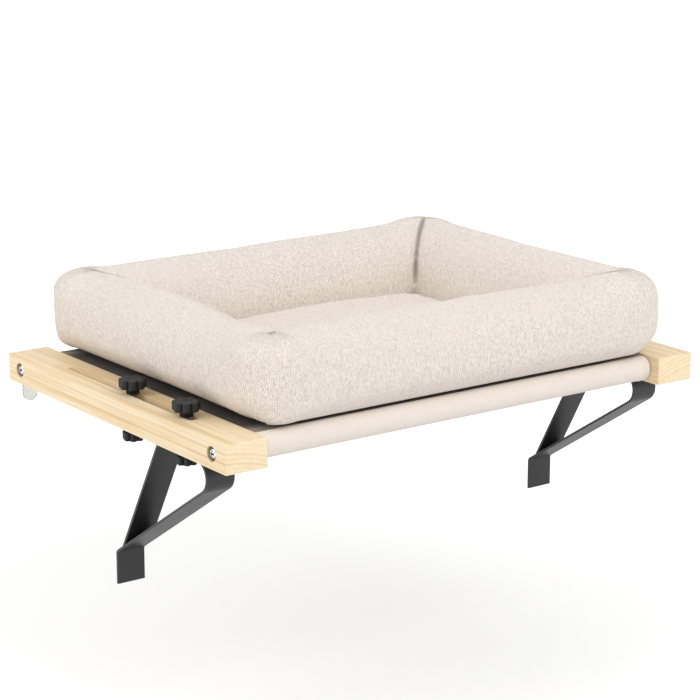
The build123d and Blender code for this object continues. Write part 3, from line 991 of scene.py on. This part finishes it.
# Bolster
# The wall of the bed: one long tube of cream looped cloth, stuffed with fibre. The cloth goes
# round the outer corners in one piece and is darted along the mitre of each inner corner.
bolster_low, bolster_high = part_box("cushion_bolster")
bed_centre = (bolster_low + bolster_high) / 2
bed_width = bolster_high.x - bolster_low.x
bed_depth = bolster_high.y - bolster_low.y
bed_height = bolster_high.z - bolster_low.z
bed_floor = bolster_low.z
wall_width = 90 * MM
foot_width = 22.2 * MM
foot_height = 19 * MM
side_height = 36 * MM
wall_belly = 1 * MM
shoulder_width = 26 * MM
shoulder_drop = 1.5 * MM
inner_side_ups = (30, 25, 20, 15, 10, 6)
inner_foot_places = ((0.6 * MM, 2.4 * MM), (3 * MM, 0.4 * MM))
base_start, base_step, base_points = 8 * MM, 4.9 * MM, 12
corner_round = 50 * MM
inner_round = 7 * MM
corner_turns = ((1, -1, -90), (1, 1, 0), (-1, 1, 90), (-1, -1, 180))
corner_columns = 16
cloth_grid = 5.0 * MM
stuffing_room = 0.6 * MM
stuffing_floor = 6 * MM
stuffing_reach = 4.5 * MM
stuffing_pressure = 4.0
stuffing_frames = 20
pinned_height = 0.6 * MM
pinned_gap = 2 * MM
loop_pitch = 2.1 * MM
loop_length = 2.7 * MM
loop_sway = 0.62
loop_squash = (1.0, 0.62, 1.0)
loop_drift, loop_stray = 2.2, 0.9
cord_shares = (0.08, 0.34)
nub_share, fluff_share = -0.34, 0.3
pile_range = (0.05, 0.7)
loop_relief = 0.8 * MM
boucle_light = "#f8f0e8"
boucle_shade = "#d2c4b5"
boucle_seam_shade = "#b7a99a"
dart_outer = {(-1, -1): 38 * MM, (-1, 1): 40 * MM, (1, -1): 43 * MM, (1, 1): 43 * MM}
dart_heights = (26 * MM, 40 * MM)
dart_fade = 4 * MM
dart_deepening = 18 * MM
seam_depth = 2.9 * MM
seam_spread = 3.6 * MM
pucker_pitch = 5.0 * MM


def looped_cloth(name):
    """Cream looped cloth. Its loops stand in zigzag columns about 2 mm apart that come and go, so
    the surface looks finely flecked with a soft, matt bloom. Along the sewn darts a painted shade
    darkens the cloth, for the shadow in the sunken seam."""
    cloth = new_material(name)
    woven = add_node(cloth, "Attribute", attribute_name="weave")["Vector"]
    split = add_node(cloth, "SeparateXYZ", {0: woven})
    drift = add_node(cloth, "TexNoise", {
        "Vector": woven, "Scale": 1 / (7 * loop_pitch), "Detail": 2.0,
    })["Fac"]
    column = add_node(cloth, "Math", {0: split["X"], 1: loop_pitch}, operation="DIVIDE")[0]
    drifted = add_node(cloth, "Math", {0: drift, 1: loop_drift, 2: column}, operation="MULTIPLY_ADD")[0]
    stray = add_node(cloth, "TexNoise", {
        "Vector": woven, "Scale": 1 / (2.2 * loop_pitch), "Detail": 1.0,
    })["Fac"]
    strayed = add_node(cloth, "Math", {0: stray, 1: loop_stray, 2: drifted}, operation="MULTIPLY_ADD")[0]
    row = add_node(cloth, "Math", {0: split["Y"], 1: loop_length}, operation="DIVIDE")[0]
    side_step = add_node(cloth, "Math", {0: row, 1: 1.0}, operation="PINGPONG")[0]
    zigzag = add_node(cloth, "Math", {0: side_step, 1: loop_sway, 2: strayed}, operation="MULTIPLY_ADD")[0]
    cord_turn = add_node(cloth, "Math", {0: zigzag, 1: 2 * pi}, operation="MULTIPLY")[0]
    cord = add_node(cloth, "Math", {0: cord_turn}, operation="SINE")[0]
    stretched = add_node(cloth, "Mapping", {"Vector": woven, "Scale": loop_squash})[0]
    loops = add_node(cloth, "TexVoronoi", {
        "Vector": stretched, "Scale": 1 / (0.75 * loop_pitch),
    }, feature="SMOOTH_F1")["Distance"]
    fluff = add_node(cloth, "TexNoise", {
        "Vector": woven, "Scale": 1 / (0.45 * loop_pitch), "Detail": 2.0,
    })["Fac"]
    patches = add_node(cloth, "TexNoise", {
        "Vector": woven, "Scale": 1 / (1.7 * loop_pitch), "Detail": 1.0,
    })["Fac"]
    cord_share = add_node(cloth, "MapRange", {
        "Value": patches, "From Min": 0.35, "From Max": 0.6,
        "To Min": cord_shares[0], "To Max": cord_shares[1],
    })[0]
    patchy = add_node(cloth, "Math", {0: cord, 1: cord_share}, operation="MULTIPLY")[0]
    cords = add_node(cloth, "Math", {0: patchy, 1: 0.5}, operation="ADD")[0]
    nubs = add_node(cloth, "Math", {0: loops, 1: nub_share, 2: cords}, operation="MULTIPLY_ADD")[0]
    height = add_node(cloth, "Math", {0: fluff, 1: fluff_share, 2: nubs}, operation="MULTIPLY_ADD")[0]
    level = add_node(cloth, "MapRange", {
        "Value": height, "From Min": pile_range[0], "From Max": pile_range[1],
    })[0]
    pile = add_node(cloth, "MixRGB", {
        "Fac": level, "Color1": linear(boucle_shade), "Color2": linear(boucle_light),
    })[0]
    # Painted shade along the dart seams, from the weave's third value
    colour = add_node(cloth, "MixRGB", {
        "Fac": split["Z"], "Color1": pile, "Color2": linear(boucle_seam_shade),
    })[0]
    relief = add_node(cloth, "Bump", {"Height": level, "Strength": 0.9, "Distance": loop_relief})[0]
    shader = add_node(cloth, "BsdfPrincipled", {
        "Base Color": colour, "Normal": relief, "Roughness": 0.92,
        "Sheen Weight": 0.3, "Sheen Roughness": 0.6, "Sheen Tint": linear(boucle_light),
    })[0]
    add_node(cloth, "OutputMaterial", {"Surface": shader})
    return cloth


def arc_points(start, end, heading, count):
    """Points along the circular arc that leaves start with the given heading and runs to end."""
    start, chord = Vector(start), Vector(end) - Vector(start)
    heading = Vector(heading).normalized()
    half_sweep = atan2(heading.x * chord.y - heading.y * chord.x, heading.dot(chord))
    radius = chord.length / (2 * sin(half_sweep))
    centre = start + Vector((-heading.y, heading.x)) * radius
    return [
        centre + Matrix.Rotation(2 * half_sweep * n / count, 2) @ (start - centre) for n in range(count + 1)
    ]


def wall_outline():
    """The wall's section as (inward, up) places: round foot, bellied side, shoulder, inner side and
    level base."""
    side_foot, side_top = (wall_belly, foot_height), (wall_belly, foot_height + side_height)
    shoulder = (wall_belly + shoulder_width, bed_height - shoulder_drop)
    crest = (wall_width / 2, bed_height)
    lean = 4 * wall_belly / side_height
    spots = arc_points((foot_width, 0), side_foot, (-1, 0), 8)
    spots += arc_points(side_foot, side_top, (-lean, 1), 8)[1:]
    spots += arc_points(side_top, shoulder, (lean, 1), 10)[1:]
    spots += arc_points(crest, shoulder, (-1, 0), 5)[-2::-1]
    spots += arc_points(crest, (wall_width, bed_height - wall_width / 2), (1, 0), 14)[1:]
    spots += [Vector((wall_width, up * MM)) for up in inner_side_ups]
    spots += [Vector((wall_width - inset, up)) for inset, up in inner_foot_places]
    spots += [Vector((wall_width - base_start - n * base_step, 0.0)) for n in range(base_points)]
    return spots


def bed_ring(inward, up, columns):
    """The rounded rectangle of the bed at one place of the section. columns says how many points
    each wall and corner takes, so that all rings match."""
    half_x, half_y = bed_width / 2 - inward, bed_depth / 2 - inward
    bend = max(corner_round - inward, inner_round)
    ring = []
    for number, (sx, sy, start) in enumerate(corner_turns):
        centre = Vector((sx * (half_x - bend), sy * (half_y - bend)))
        before = corner_turns[number - 1]
        last = Vector((before[0] * (half_x - bend), before[1] * (half_y - bend)))
        out = Vector((cos(radians(start)), sin(radians(start)))) * bend
        wall_columns = columns[number % 2]
        for n in range(1, wall_columns):
            spot = last.lerp(centre, n / wall_columns) + out
            ring.append((spot.x, spot.y, up))
        for n in range(columns[2] + 1):
            turn = radians(start + 90 * n / columns[2])
            ring.append((centre.x + bend * cos(turn), centre.y + bend * sin(turn), up))
    return ring


def stuff(piece, pins, pressure, reach):
    """Fill a cover: cloth simulation blows it up, sewn points stay, and no point moves past reach."""
    scene = bpy.context.scene
    starts = [vertex.co.copy() for vertex in piece.data.vertices]
    sewn = piece.vertex_groups.new(name="sewn")
    sewn.add(pins, 1.0, "REPLACE")
    cloth = piece.modifiers.new("Stuffing", "CLOTH")
    cloth.settings.vertex_group_mass = "sewn"
    cloth.settings.use_pressure = True
    cloth.settings.uniform_pressure_force = pressure
    cloth.settings.effector_weights.gravity = 0
    cloth.settings.quality = 6
    cloth.settings.tension_stiffness = 12
    cloth.settings.compression_stiffness = 12
    cloth.settings.bending_stiffness = 0.6
    cloth.collision_settings.use_collision = False
    cloth.point_cache.frame_start = 1
    cloth.point_cache.frame_end = stuffing_frames
    for number in range(1, stuffing_frames + 1):
        scene.frame_set(number)
    blown = piece.evaluated_get(bpy.context.evaluated_depsgraph_get())
    ends = [vertex.co.copy() for vertex in blown.data.vertices]
    piece.modifiers.remove(cloth)
    scene.frame_set(1)
    for vertex, start, end in zip(piece.data.vertices, starts, ends):
        step = end - start
        if step.length > reach:
            step = step.normalized() * reach
        vertex.co = start + step


def subdivide(piece):
    """Apply one level of subdivision to the piece."""
    fine = piece.modifiers.new("Smooth", "SUBSURF")
    fine.levels = 1
    dense = bpy.data.meshes.new_from_object(piece.evaluated_get(bpy.context.evaluated_depsgraph_get()))
    piece.modifiers.remove(fine)
    piece.data = dense
    dense.shade_smooth()


bed_cloth = looped_cloth("looped upholstery cloth")
section = wall_outline()
columns = (
    round((bed_depth - 2 * corner_round) / cloth_grid),
    round((bed_width - 2 * corner_round) / cloth_grid),
    corner_columns,
)
rings = []
for number, (inward, up) in enumerate(section):
    after, before = section[(number + 1) % len(section)], section[number - 1]
    tangent = Vector((after[0] - before[0], after[1] - before[1])).normalized()
    normal = Vector((tangent.y, -tangent.x))
    pulled_in = inward + normal.x * stuffing_room
    pulled_up = up + normal.y * stuffing_room if up > stuffing_floor else up
    ring = bed_ring(pulled_in, max(pulled_up, 0), columns)
    rings.append([(bed_centre.x + x, bed_centre.y + y, bed_floor + z) for x, y, z in ring])
bolster = skin("bolster_cover", rings, bed_cloth, loop=True, sharp=180)


def corner_signs(x, y):
    """Which corner of the bed is nearest, as the signs of its x and y."""
    return (1 if x > 0 else -1, 1 if y > 0 else -1)


def on_bed(co):
    """A point's place from the middle of the bed, and how far in it lies from the bed's sides (x)
    and from its front or back (y)."""
    x, y = co.x - bed_centre.x, co.y - bed_centre.y
    off_x, off_y = bed_width / 2 - abs(x), bed_depth / 2 - abs(y)
    return x, y, off_x, off_y


def mitre_gap(co):
    """Distance from the nearest mitre plane, which runs at 45 degrees from each outer corner."""
    _, _, off_x, off_y = on_bed(co)
    return abs(off_x - off_y) / sqrt(2)


def dart_share(co):
    """How much of a dart's seam is there: none on the outer side, all from the crest inwards."""
    x, y, off_x, off_y = on_bed(co)
    outer = dart_outer[corner_signs(x, y)]
    on_top = smooth_step(co.z - bed_floor, *dart_heights)
    return smooth_step(min(off_x, off_y), outer - dart_fade, outer + dart_fade) * on_top


pins = []
for at, vertex in enumerate(bolster.data.vertices):
    on_base = vertex.co.z - bed_floor < pinned_height
    if on_base or (dart_share(vertex.co) > 0.5 and mitre_gap(vertex.co) < pinned_gap):
        pins.append(at)
stuff(bolster, pins, stuffing_pressure, stuffing_reach)
subdivide(bolster)

# The bolster's hand: soft waves of the stuffing, fuller corners, a foot that rolls under between
# them, the darts, a dip in the left wall, and the hollow over the right-hand knobs
knob_low, knob_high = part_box("right_front_top_knob")
_, rear_knob_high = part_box("right_rear_top_knob")
slides = {joint["name"]: joint["range_m"] for joint in frame["joints"] if joint["type"] == "slide"}
knob_travel = slides["right_bracket_slide"]
hollow_room = 3 * MM
hollow_play = 2.5 * MM
hollow_front = knob_low.y + knob_travel[0] - hollow_room
hollow_back = rear_knob_high.y + knob_travel[1] + hollow_room
hollow_side = knob_low.x - hollow_play
hollow_top = knob_high.z + hollow_play
hollow_slope = 20 * MM
hollow_fade_share = 2.6
stuffing_waves = ((11, 9, 0, 1.3 * MM), (31, 24, 5, 0.5 * MM))
wave_full_height = 12 * MM
crest_heights = (40 * MM, 70 * MM)
outer_side_reach = (25 * MM, 60 * MM)
inner_edge = bed_width / 2 - wall_width
edge_blend = (10 * MM, 30 * MM)
corner_reach = (45 * MM, 80 * MM)
foot_reach = (22 * MM, 52 * MM)
corner_push = 1.0 * MM
corner_fills = {(-1, -1): 2.0 * MM, (-1, 1): 3.6 * MM, (1, -1): 0.8 * MM, (1, 1): 2.0 * MM}
corner_rise = 1.6 * MM
right_lift = 2.3 * MM
dip_depth = 3.5 * MM
dip_place = -75 * MM
dip_spread = 50 * MM
corner_feet = {(-1, -1): (13 * MM, 11 * MM), (-1, 1): (17 * MM, 15 * MM), (1, -1): (30 * MM, 30 * MM)}
foot_aside = {(-1, -1): (9 * MM, -12 * MM)}
left_foot_trim = 0.08
left_trim_reach = (-20 * MM, 80 * MM)
wall_feet = {
    "left": (37 * MM, 29 * MM), "front": (27 * MM, 21 * MM),
    "right": (30 * MM, 24 * MM), "back": (30 * MM, 24 * MM),
}


def foot_arc(width, height, up):
    """How far in the wall's surface lies at a height over its foot, for an elliptic foot."""
    level = min(max(up / height, 0.0), 1.0)
    return width * (1 - sqrt(1 - (1 - level) ** 2))


def nearness(x, y, sx, sy, reach):
    """Share of an outer corner of the bed: all at the corner, none along the walls."""
    return 1 - smooth_step(hypot(x - sx * bed_width / 2, y - sy * bed_depth / 2), *reach)


def into_bed(x, y, off_x, off_y):
    """The level direction square to the wall, towards its inner side."""
    past_x, past_y = abs(x) - bed_width / 2 + corner_round, abs(y) - bed_depth / 2 + corner_round
    if past_x > 0 and past_y > 0:
        return Vector((-past_x if x > 0 else past_x, -past_y if y > 0 else past_y, 0)).normalized()
    if off_x < off_y:
        return Vector((-1 if x > 0 else 1, 0, 0))
    return Vector((0, -1 if y > 0 else 1, 0))


def foot_shift(x, y, off_x, off_y, up):
    """How much further in than the even section the foot lies, from the shares of walls and corners."""
    even = foot_arc(foot_width, foot_height, up)
    corner_total, shift = 0.0, 0.0
    for sx in (-1, 1):
        for sy in (-1, 1):
            aside = foot_aside.get((sx, sy), (0, 0))
            near = nearness(x - aside[0], y - aside[1], sx, sy, foot_reach)
            corner_total += near
            foot = corner_feet.get((sx, sy), (foot_width, foot_height))
            shift += near * (foot_arc(*foot, up) - even)
    if off_x < off_y:
        wall = "right" if x > 0 else "left"
    else:
        wall = "back" if y > 0 else "front"
    foot = foot_arc(*wall_feet[wall], up)
    if wall == "left":
        foot *= 1 - left_foot_trim * smooth_step(y, *left_trim_reach)
    return shift + (1 - corner_total) * (foot - even)


outward = [vertex.normal.copy() for vertex in bolster.data.vertices]
for vertex, normal in zip(bolster.data.vertices, outward):
    co = vertex.co
    up = co.z - bed_floor
    x, y, off_x, off_y = on_bed(co)
    inward = min(off_x, off_y)
    gap = mitre_gap(co)
    dart = dart_share(co)
    nears = {spot: nearness(x, y, *spot, corner_reach) for spot in corner_fills}
    corner = max(nears.values())
    wave = 0.0
    for level_scale, up_scale, shift, size in stuffing_waves:
        lump = Vector((co.x * level_scale + shift, co.y * level_scale, co.z * up_scale))
        wave += noise.noise(lump) * size
    shoulder_share = max(0.0, 4 * normal.z * (1 - normal.z))
    fill = sum(nears[spot] * corner_fills[spot] for spot in nears) * shoulder_share
    co += normal * (wave + corner * corner_push + fill) * smooth_step(up, 0, wave_full_height)
    if up < bed_height / 2:
        outer_side = 1 - smooth_step(inward, *outer_side_reach)
        co += into_bed(x, y, off_x, off_y) * foot_shift(x, y, off_x, off_y, up) * outer_side
    on_crest = smooth_step(up, *crest_heights)
    right_share = smooth_step(x, inner_edge - edge_blend[0], inner_edge + edge_blend[1])
    co.z += (right_lift * right_share + corner_rise * corner) * on_crest
    left_share = 1 - smooth_step(x, -inner_edge - edge_blend[1], -inner_edge + edge_blend[0])
    co.z -= dip_depth * left_share * on_crest * exp(-((y - dip_place) / dip_spread) ** 2)
    if dart > 0:
        outer = dart_outer[corner_signs(x, y)]
        sunk = dart * smooth_step(inward, outer - dart_fade, outer + dart_deepening)
        pucker = 0.75 + 0.25 * cos(2 * pi * inward / pucker_pitch)
        co -= normal * seam_depth * sunk * pucker * exp(-(gap / seam_spread) ** 2)
        co -= normal * seam_depth * 0.25 * sunk * exp(-(gap / (4 * seam_spread)) ** 2)
    beside = smooth_step(co.x, hollow_side - hollow_slope, hollow_side)
    between = smooth_step(co.y, hollow_front - hollow_slope, hollow_front)
    between *= 1 - smooth_step(co.y, hollow_back, hollow_back + hollow_slope)
    lifted = hollow_top - bed_floor
    fade = 1 - smooth_step(up, 0, lifted * hollow_fade_share)
    co.z += lifted * beside * between * fade
    co.z = max(co.z, bed_floor)

run_x, run_y = bed_width / 2 - corner_round, bed_depth / 2 - corner_round
side_start = run_x + run_y + pi / 2 * corner_round
fan_reach = (28 * MM, 44 * MM)
roll_heights = (12 * MM, 42 * MM)
crest_blend = 7 * MM
seam_shade_share = 0.35


def cloth_place(co, side_wall):
    """Place on the flat cloth: metres along the walls from the middle of the front one, metres up and
    over the section, and the share of painted seam shade along the darts. The cloth fans round the outer
    corners."""
    x, y, off_x, off_y = on_bed(co)
    along, inward = (abs(y), off_x) if side_wall else (abs(x), off_y)
    past_x, past_y = abs(x) - run_x, abs(y) - run_y
    if past_x > 0 and past_y > 0:
        corner_in = corner_round - hypot(past_x, past_y)
        turn = atan2(past_y, past_x) if side_wall else atan2(past_x, past_y)
        fanned = (run_y if side_wall else run_x) + turn * corner_round
        straight = smooth_step(corner_in, *fan_reach)
        along += (fanned - along) * (1 - straight)
        inward += (corner_in - inward) * (1 - straight)
    if side_wall:
        along = along if y > 0 else -along
        along = side_start + along if x > 0 else -side_start - along
    else:
        along = along if x > 0 else -along
        along = 2 * side_start - along if y > 0 else along
    up = co.z - bed_floor
    rolled = 2 * smooth_step(up, *roll_heights) - 1
    past_crest = smooth_step(inward, wall_width / 2 - crest_blend, wall_width / 2 + crest_blend)
    over = rolled * inward + up + past_crest * 2 * (bed_height - up)
    if inward > wall_width / 2:
        over += (1 - rolled) * inward
    # Share of painted shade along the dart seam, stored as the weave's third value
    seam = dart_share(co) * exp(-(mitre_gap(co) / (seam_shade_share * seam_spread)) ** 2)
    return along, over, seam


weave = bolster.data.attributes.new("weave", "FLOAT_VECTOR", "CORNER")
for face in bolster.data.polygons:
    _, _, off_x, off_y = on_bed(face.center)
    for loop_at in face.loop_indices:
        co = bolster.data.vertices[bolster.data.loops[loop_at].vertex_index].co
        weave.data[loop_at].vector = cloth_place(co, off_x < off_y)

dart_cream, dart_cream_shade = "#ded2c4", "#b8aa9b"
dart_stitch = 3.0 * MM
dart_thread_radius = 0.32 * MM
dart_end = 3 * MM
dart_points = 40
above_bed = 200 * MM
dart_thread = plain_weave(
    "spun polyester thread cream", dart_cream, dart_cream_shade, thread_ply, roughness=0.6, fuzz=0.1,
)
darts = []
for (sx, sy), outer in dart_outer.items():
    seam = []
    for n in range(dart_points):
        inward = outer + n / (dart_points - 1) * (wall_width - dart_end - outer)
        x = bed_centre.x + sx * (bed_width / 2 - inward)
        y = bed_centre.y + sy * (bed_depth / 2 - inward)
        hit, spot, normal, _ = bolster.ray_cast(Vector((x, y, bed_floor + above_bed)), -upright)
        if hit:
            seam.append((spot, normal))
    darts.append(sew(f"dart_{sx}_{sy}", seam, dart_thread, dart_stitch, pucker_pitch, dart_thread_radius))
dart_stitching = joined("bolster_dart_stitching", darts)
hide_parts("cushion_bolster")
for piece in (bolster, dart_stitching):
    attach(piece, "cushion")


# Pad
# The floor of the bed: a loose fibre-filled pad in the same looped cloth, boxed at its sides and
# piped round its top edge. It lies in the ring of the bolster.
pad_low, pad_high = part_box("cushion_pad")
pad_centre = (pad_low + pad_high) / 2
pad_voxel = 5.0 * MM
pad_shrink = 2.0 * MM
pad_reach = 6.0 * MM
pad_pinned = 1 * MM
pad_dimple = 3.0 * MM
pad_dimple_spread = (100 * MM, 70 * MM)
pad_wave = 1.2 * MM
pad_edge_sink = 2.0 * MM
pad_edge_spread = 6 * MM
pad_top_heights = (8 * MM, 16 * MM)
pad_corner = 10 * MM
pad_seam_up = 14.5 * MM
piping_radius = 1.9 * MM
piping_sway = 0.7 * MM
piping_step = 6 * MM
piping_sides = 10

pad_mesh = frame["nodes"]["cushion_pad"].data.copy()
pad = bpy.data.objects.new("pad_cover", pad_mesh)
bpy.context.scene.collection.objects.link(pad)
remesh = pad.modifiers.new("Even grid", "REMESH")
remesh.mode = "VOXEL"
remesh.voxel_size = pad_voxel
pad.data = bpy.data.meshes.new_from_object(pad.evaluated_get(bpy.context.evaluated_depsgraph_get()))
pad.modifiers.remove(remesh)
for vertex in pad.data.vertices:
    for axis in (0, 1):
        reach = (pad_high[axis] - pad_low[axis]) / 2
        vertex.co[axis] = pad_centre[axis] + (vertex.co[axis] - pad_centre[axis]) * (1 - pad_shrink / reach)
pins = [at for at, vertex in enumerate(pad.data.vertices) if vertex.co.z < pad_low.z + pad_pinned]
stuff(pad, pins, stuffing_pressure, pad_reach)
subdivide(pad)
dress(pad, bed_cloth)


def pad_inset(co):
    """Distance in from the pad's nearest side."""
    return min(pad_high.x - co.x, co.x - pad_low.x, pad_high.y - co.y, co.y - pad_low.y)


for vertex in pad.data.vertices:
    co = vertex.co
    up = co.z - pad_low.z
    across = (co.x - pad_centre.x) / pad_dimple_spread[0]
    along = (co.y - pad_centre.y) / pad_dimple_spread[1]
    dimple = pad_dimple * exp(-across ** 2 - along ** 2)
    wave = noise.noise(Vector((co.x * 14, co.y * 14, 3))) * pad_wave
    sink = pad_edge_sink * exp(-(pad_inset(co) / pad_edge_spread) ** 2)
    co.z += smooth_step(up, *pad_top_heights) * (wave - dimple - sink)
    for axis in (0, 1):
        co[axis] = min(max(co[axis], pad_low[axis]), pad_high[axis])
    co.z = max(co.z, pad_low.z)
lay_weave(pad, lambda co: (co.x, co.y, 0))

piping_ring = []
piping_half_x = (pad_high.x - pad_low.x) / 2 - piping_radius
piping_half_y = (pad_high.y - pad_low.y) / 2 - piping_radius
for sx, sy, start in corner_turns:
    for degrees in range(0, 91, 15):
        turn = radians(start + degrees)
        spot_x = pad_centre.x + sx * (piping_half_x - pad_corner) + pad_corner * cos(turn)
        spot_y = pad_centre.y + sy * (piping_half_y - pad_corner) + pad_corner * sin(turn)
        piping_ring.append(Vector((spot_x, spot_y, pad_low.z + pad_seam_up)))
route = []
for number, spot in enumerate(piping_ring):
    nearer = piping_ring[(number + 1) % len(piping_ring)]
    parts = max(1, round((nearer - spot).length / piping_step))
    route += [spot.lerp(nearer, n / parts) for n in range(parts)]
rings = []
for number, spot in enumerate(route):
    ahead = (route[(number + 1) % len(route)] - route[number - 1]).normalized()
    middle = spot + upright * noise.noise(spot * 20) * piping_sway
    rings.append(round_thread(middle, ahead.cross(upright), upright, piping_radius, piping_sides))
piping = skin("pad_piping", rings, bed_cloth, loop=True, sharp=180)
lay_weave(piping, lambda co: (co.x + co.y, co.z * 3, 0))
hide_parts("cushion_pad")
for piece in (pad, piping):
    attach(piece, "cushion")


# Studio
# A plain pale floor below the bed, a white surround, and soft light from the front and above. The
# camera stands where the photograph's did, with a long lens.
floor_drop = 0.14
floor_size = 60.0
floor_grey = "#e9e9e9"
floor_lift = 0.3
shade_reach = (0.5, 1.6)
camera_place = Vector((-1.3845, -1.9034, 0.8034))
camera_turn, camera_tilt, camera_roll = 36.08, -14.55, 0.14  # degrees right, up, anticlockwise
sensor_width = 36.0
lens = 123.6
sky_light = 0.76
lamp_aim = Vector((0, 0, 0.15))
key_place, key_size, key_power = Vector((0.3, -2.2, 1.9)), 1.6, 26.0
fill_place, fill_size, fill_power = Vector((-2.2, 0.4, 1.6)), 1.8, 18.0


def looked_at(material):
    """1 where the camera looks, straight or by way of gloss or glass, and 0 for light on the bed."""
    rays = add_node(material, "LightPath")
    seen = add_node(material, "Math", {
        0: rays["Is Camera Ray"], 1: rays["Is Glossy Ray"],
    }, operation="MAXIMUM")[0]
    return add_node(material, "Math", {0: seen, 1: rays["Is Transmission Ray"]}, operation="MAXIMUM")[0]


floor_mesh = bpy.data.meshes.new("studio_floor")
half = floor_size / 2
floor_corners = [(x * half, y * half, -floor_drop) for x, y in ((-1, -1), (1, -1), (1, 1), (-1, 1))]
floor_mesh.from_pydata(floor_corners, [], [(0, 1, 2, 3)])
floor = bpy.data.objects.new("studio_floor", floor_mesh)
bpy.context.scene.collection.objects.link(floor)
paper = new_material("matt white paper")
paper_place = add_node(paper, "TexCoord")["Object"]
spread = add_node(paper, "VectorMath", {0: paper_place}, operation="LENGTH")["Value"]
whiter = add_node(paper, "MapRange", {
    "Value": spread, "From Min": shade_reach[0], "From Max": shade_reach[1],
    "To Min": floor_lift, "To Max": 1.0,
})[0]
lift = add_node(paper, "Math", {0: looked_at(paper), 1: whiter}, operation="MULTIPLY")[0]
matt = add_node(paper, "BsdfDiffuse", {"Color": linear(floor_grey)})[0]
glow = add_node(paper, "Emission", {"Color": (1, 1, 1, 1), "Strength": lift})[0]
add_node(paper, "OutputMaterial", {"Surface": add_node(paper, "AddShader", {0: matt, 1: glow})[0]})
dress(floor, paper)

world = bpy.data.worlds.new("white studio")
bpy.context.scene.world = world
world.use_nodes = True
world.node_tree.nodes.clear()
level = add_node(world, "MapRange", {"Value": looked_at(world), "To Min": sky_light, "To Max": 1.0})[0]
sky = add_node(world, "Background", {"Color": (1, 1, 1, 1), "Strength": level})[0]
add_node(world, "OutputWorld", {"Surface": sky})


def soft_lamp(name, place, aim, size, power):
    """A square soft box that points at aim."""
    lamp = bpy.data.lights.new(name, "AREA")
    lamp.shape = "SQUARE"
    lamp.size = size
    lamp.energy = power
    made = bpy.data.objects.new(name, lamp)
    made.location = place
    made.rotation_euler = (aim - place).to_track_quat("-Z", "Y").to_euler()
    bpy.context.scene.collection.objects.link(made)


soft_lamp("key_light", key_place, lamp_aim, key_size, key_power)
soft_lamp("fill_light", fill_place, lamp_aim, fill_size, fill_power)

lens_data = bpy.data.cameras.new("camera")
lens_data.lens = lens
lens_data.sensor_width = sensor_width
camera = bpy.data.objects.new("camera", lens_data)
camera.location = camera_place
camera.rotation_euler = (
    Matrix.Rotation(radians(-camera_turn), 3, "Z")
    @ Matrix.Rotation(radians(90 + camera_tilt), 3, "X")
    @ Matrix.Rotation(radians(camera_roll), 3, "Z")
).to_euler()
bpy.context.scene.collection.objects.link(camera)
bpy.context.scene.camera = camera
bpy.context.scene.view_settings.view_transform = "Standard"
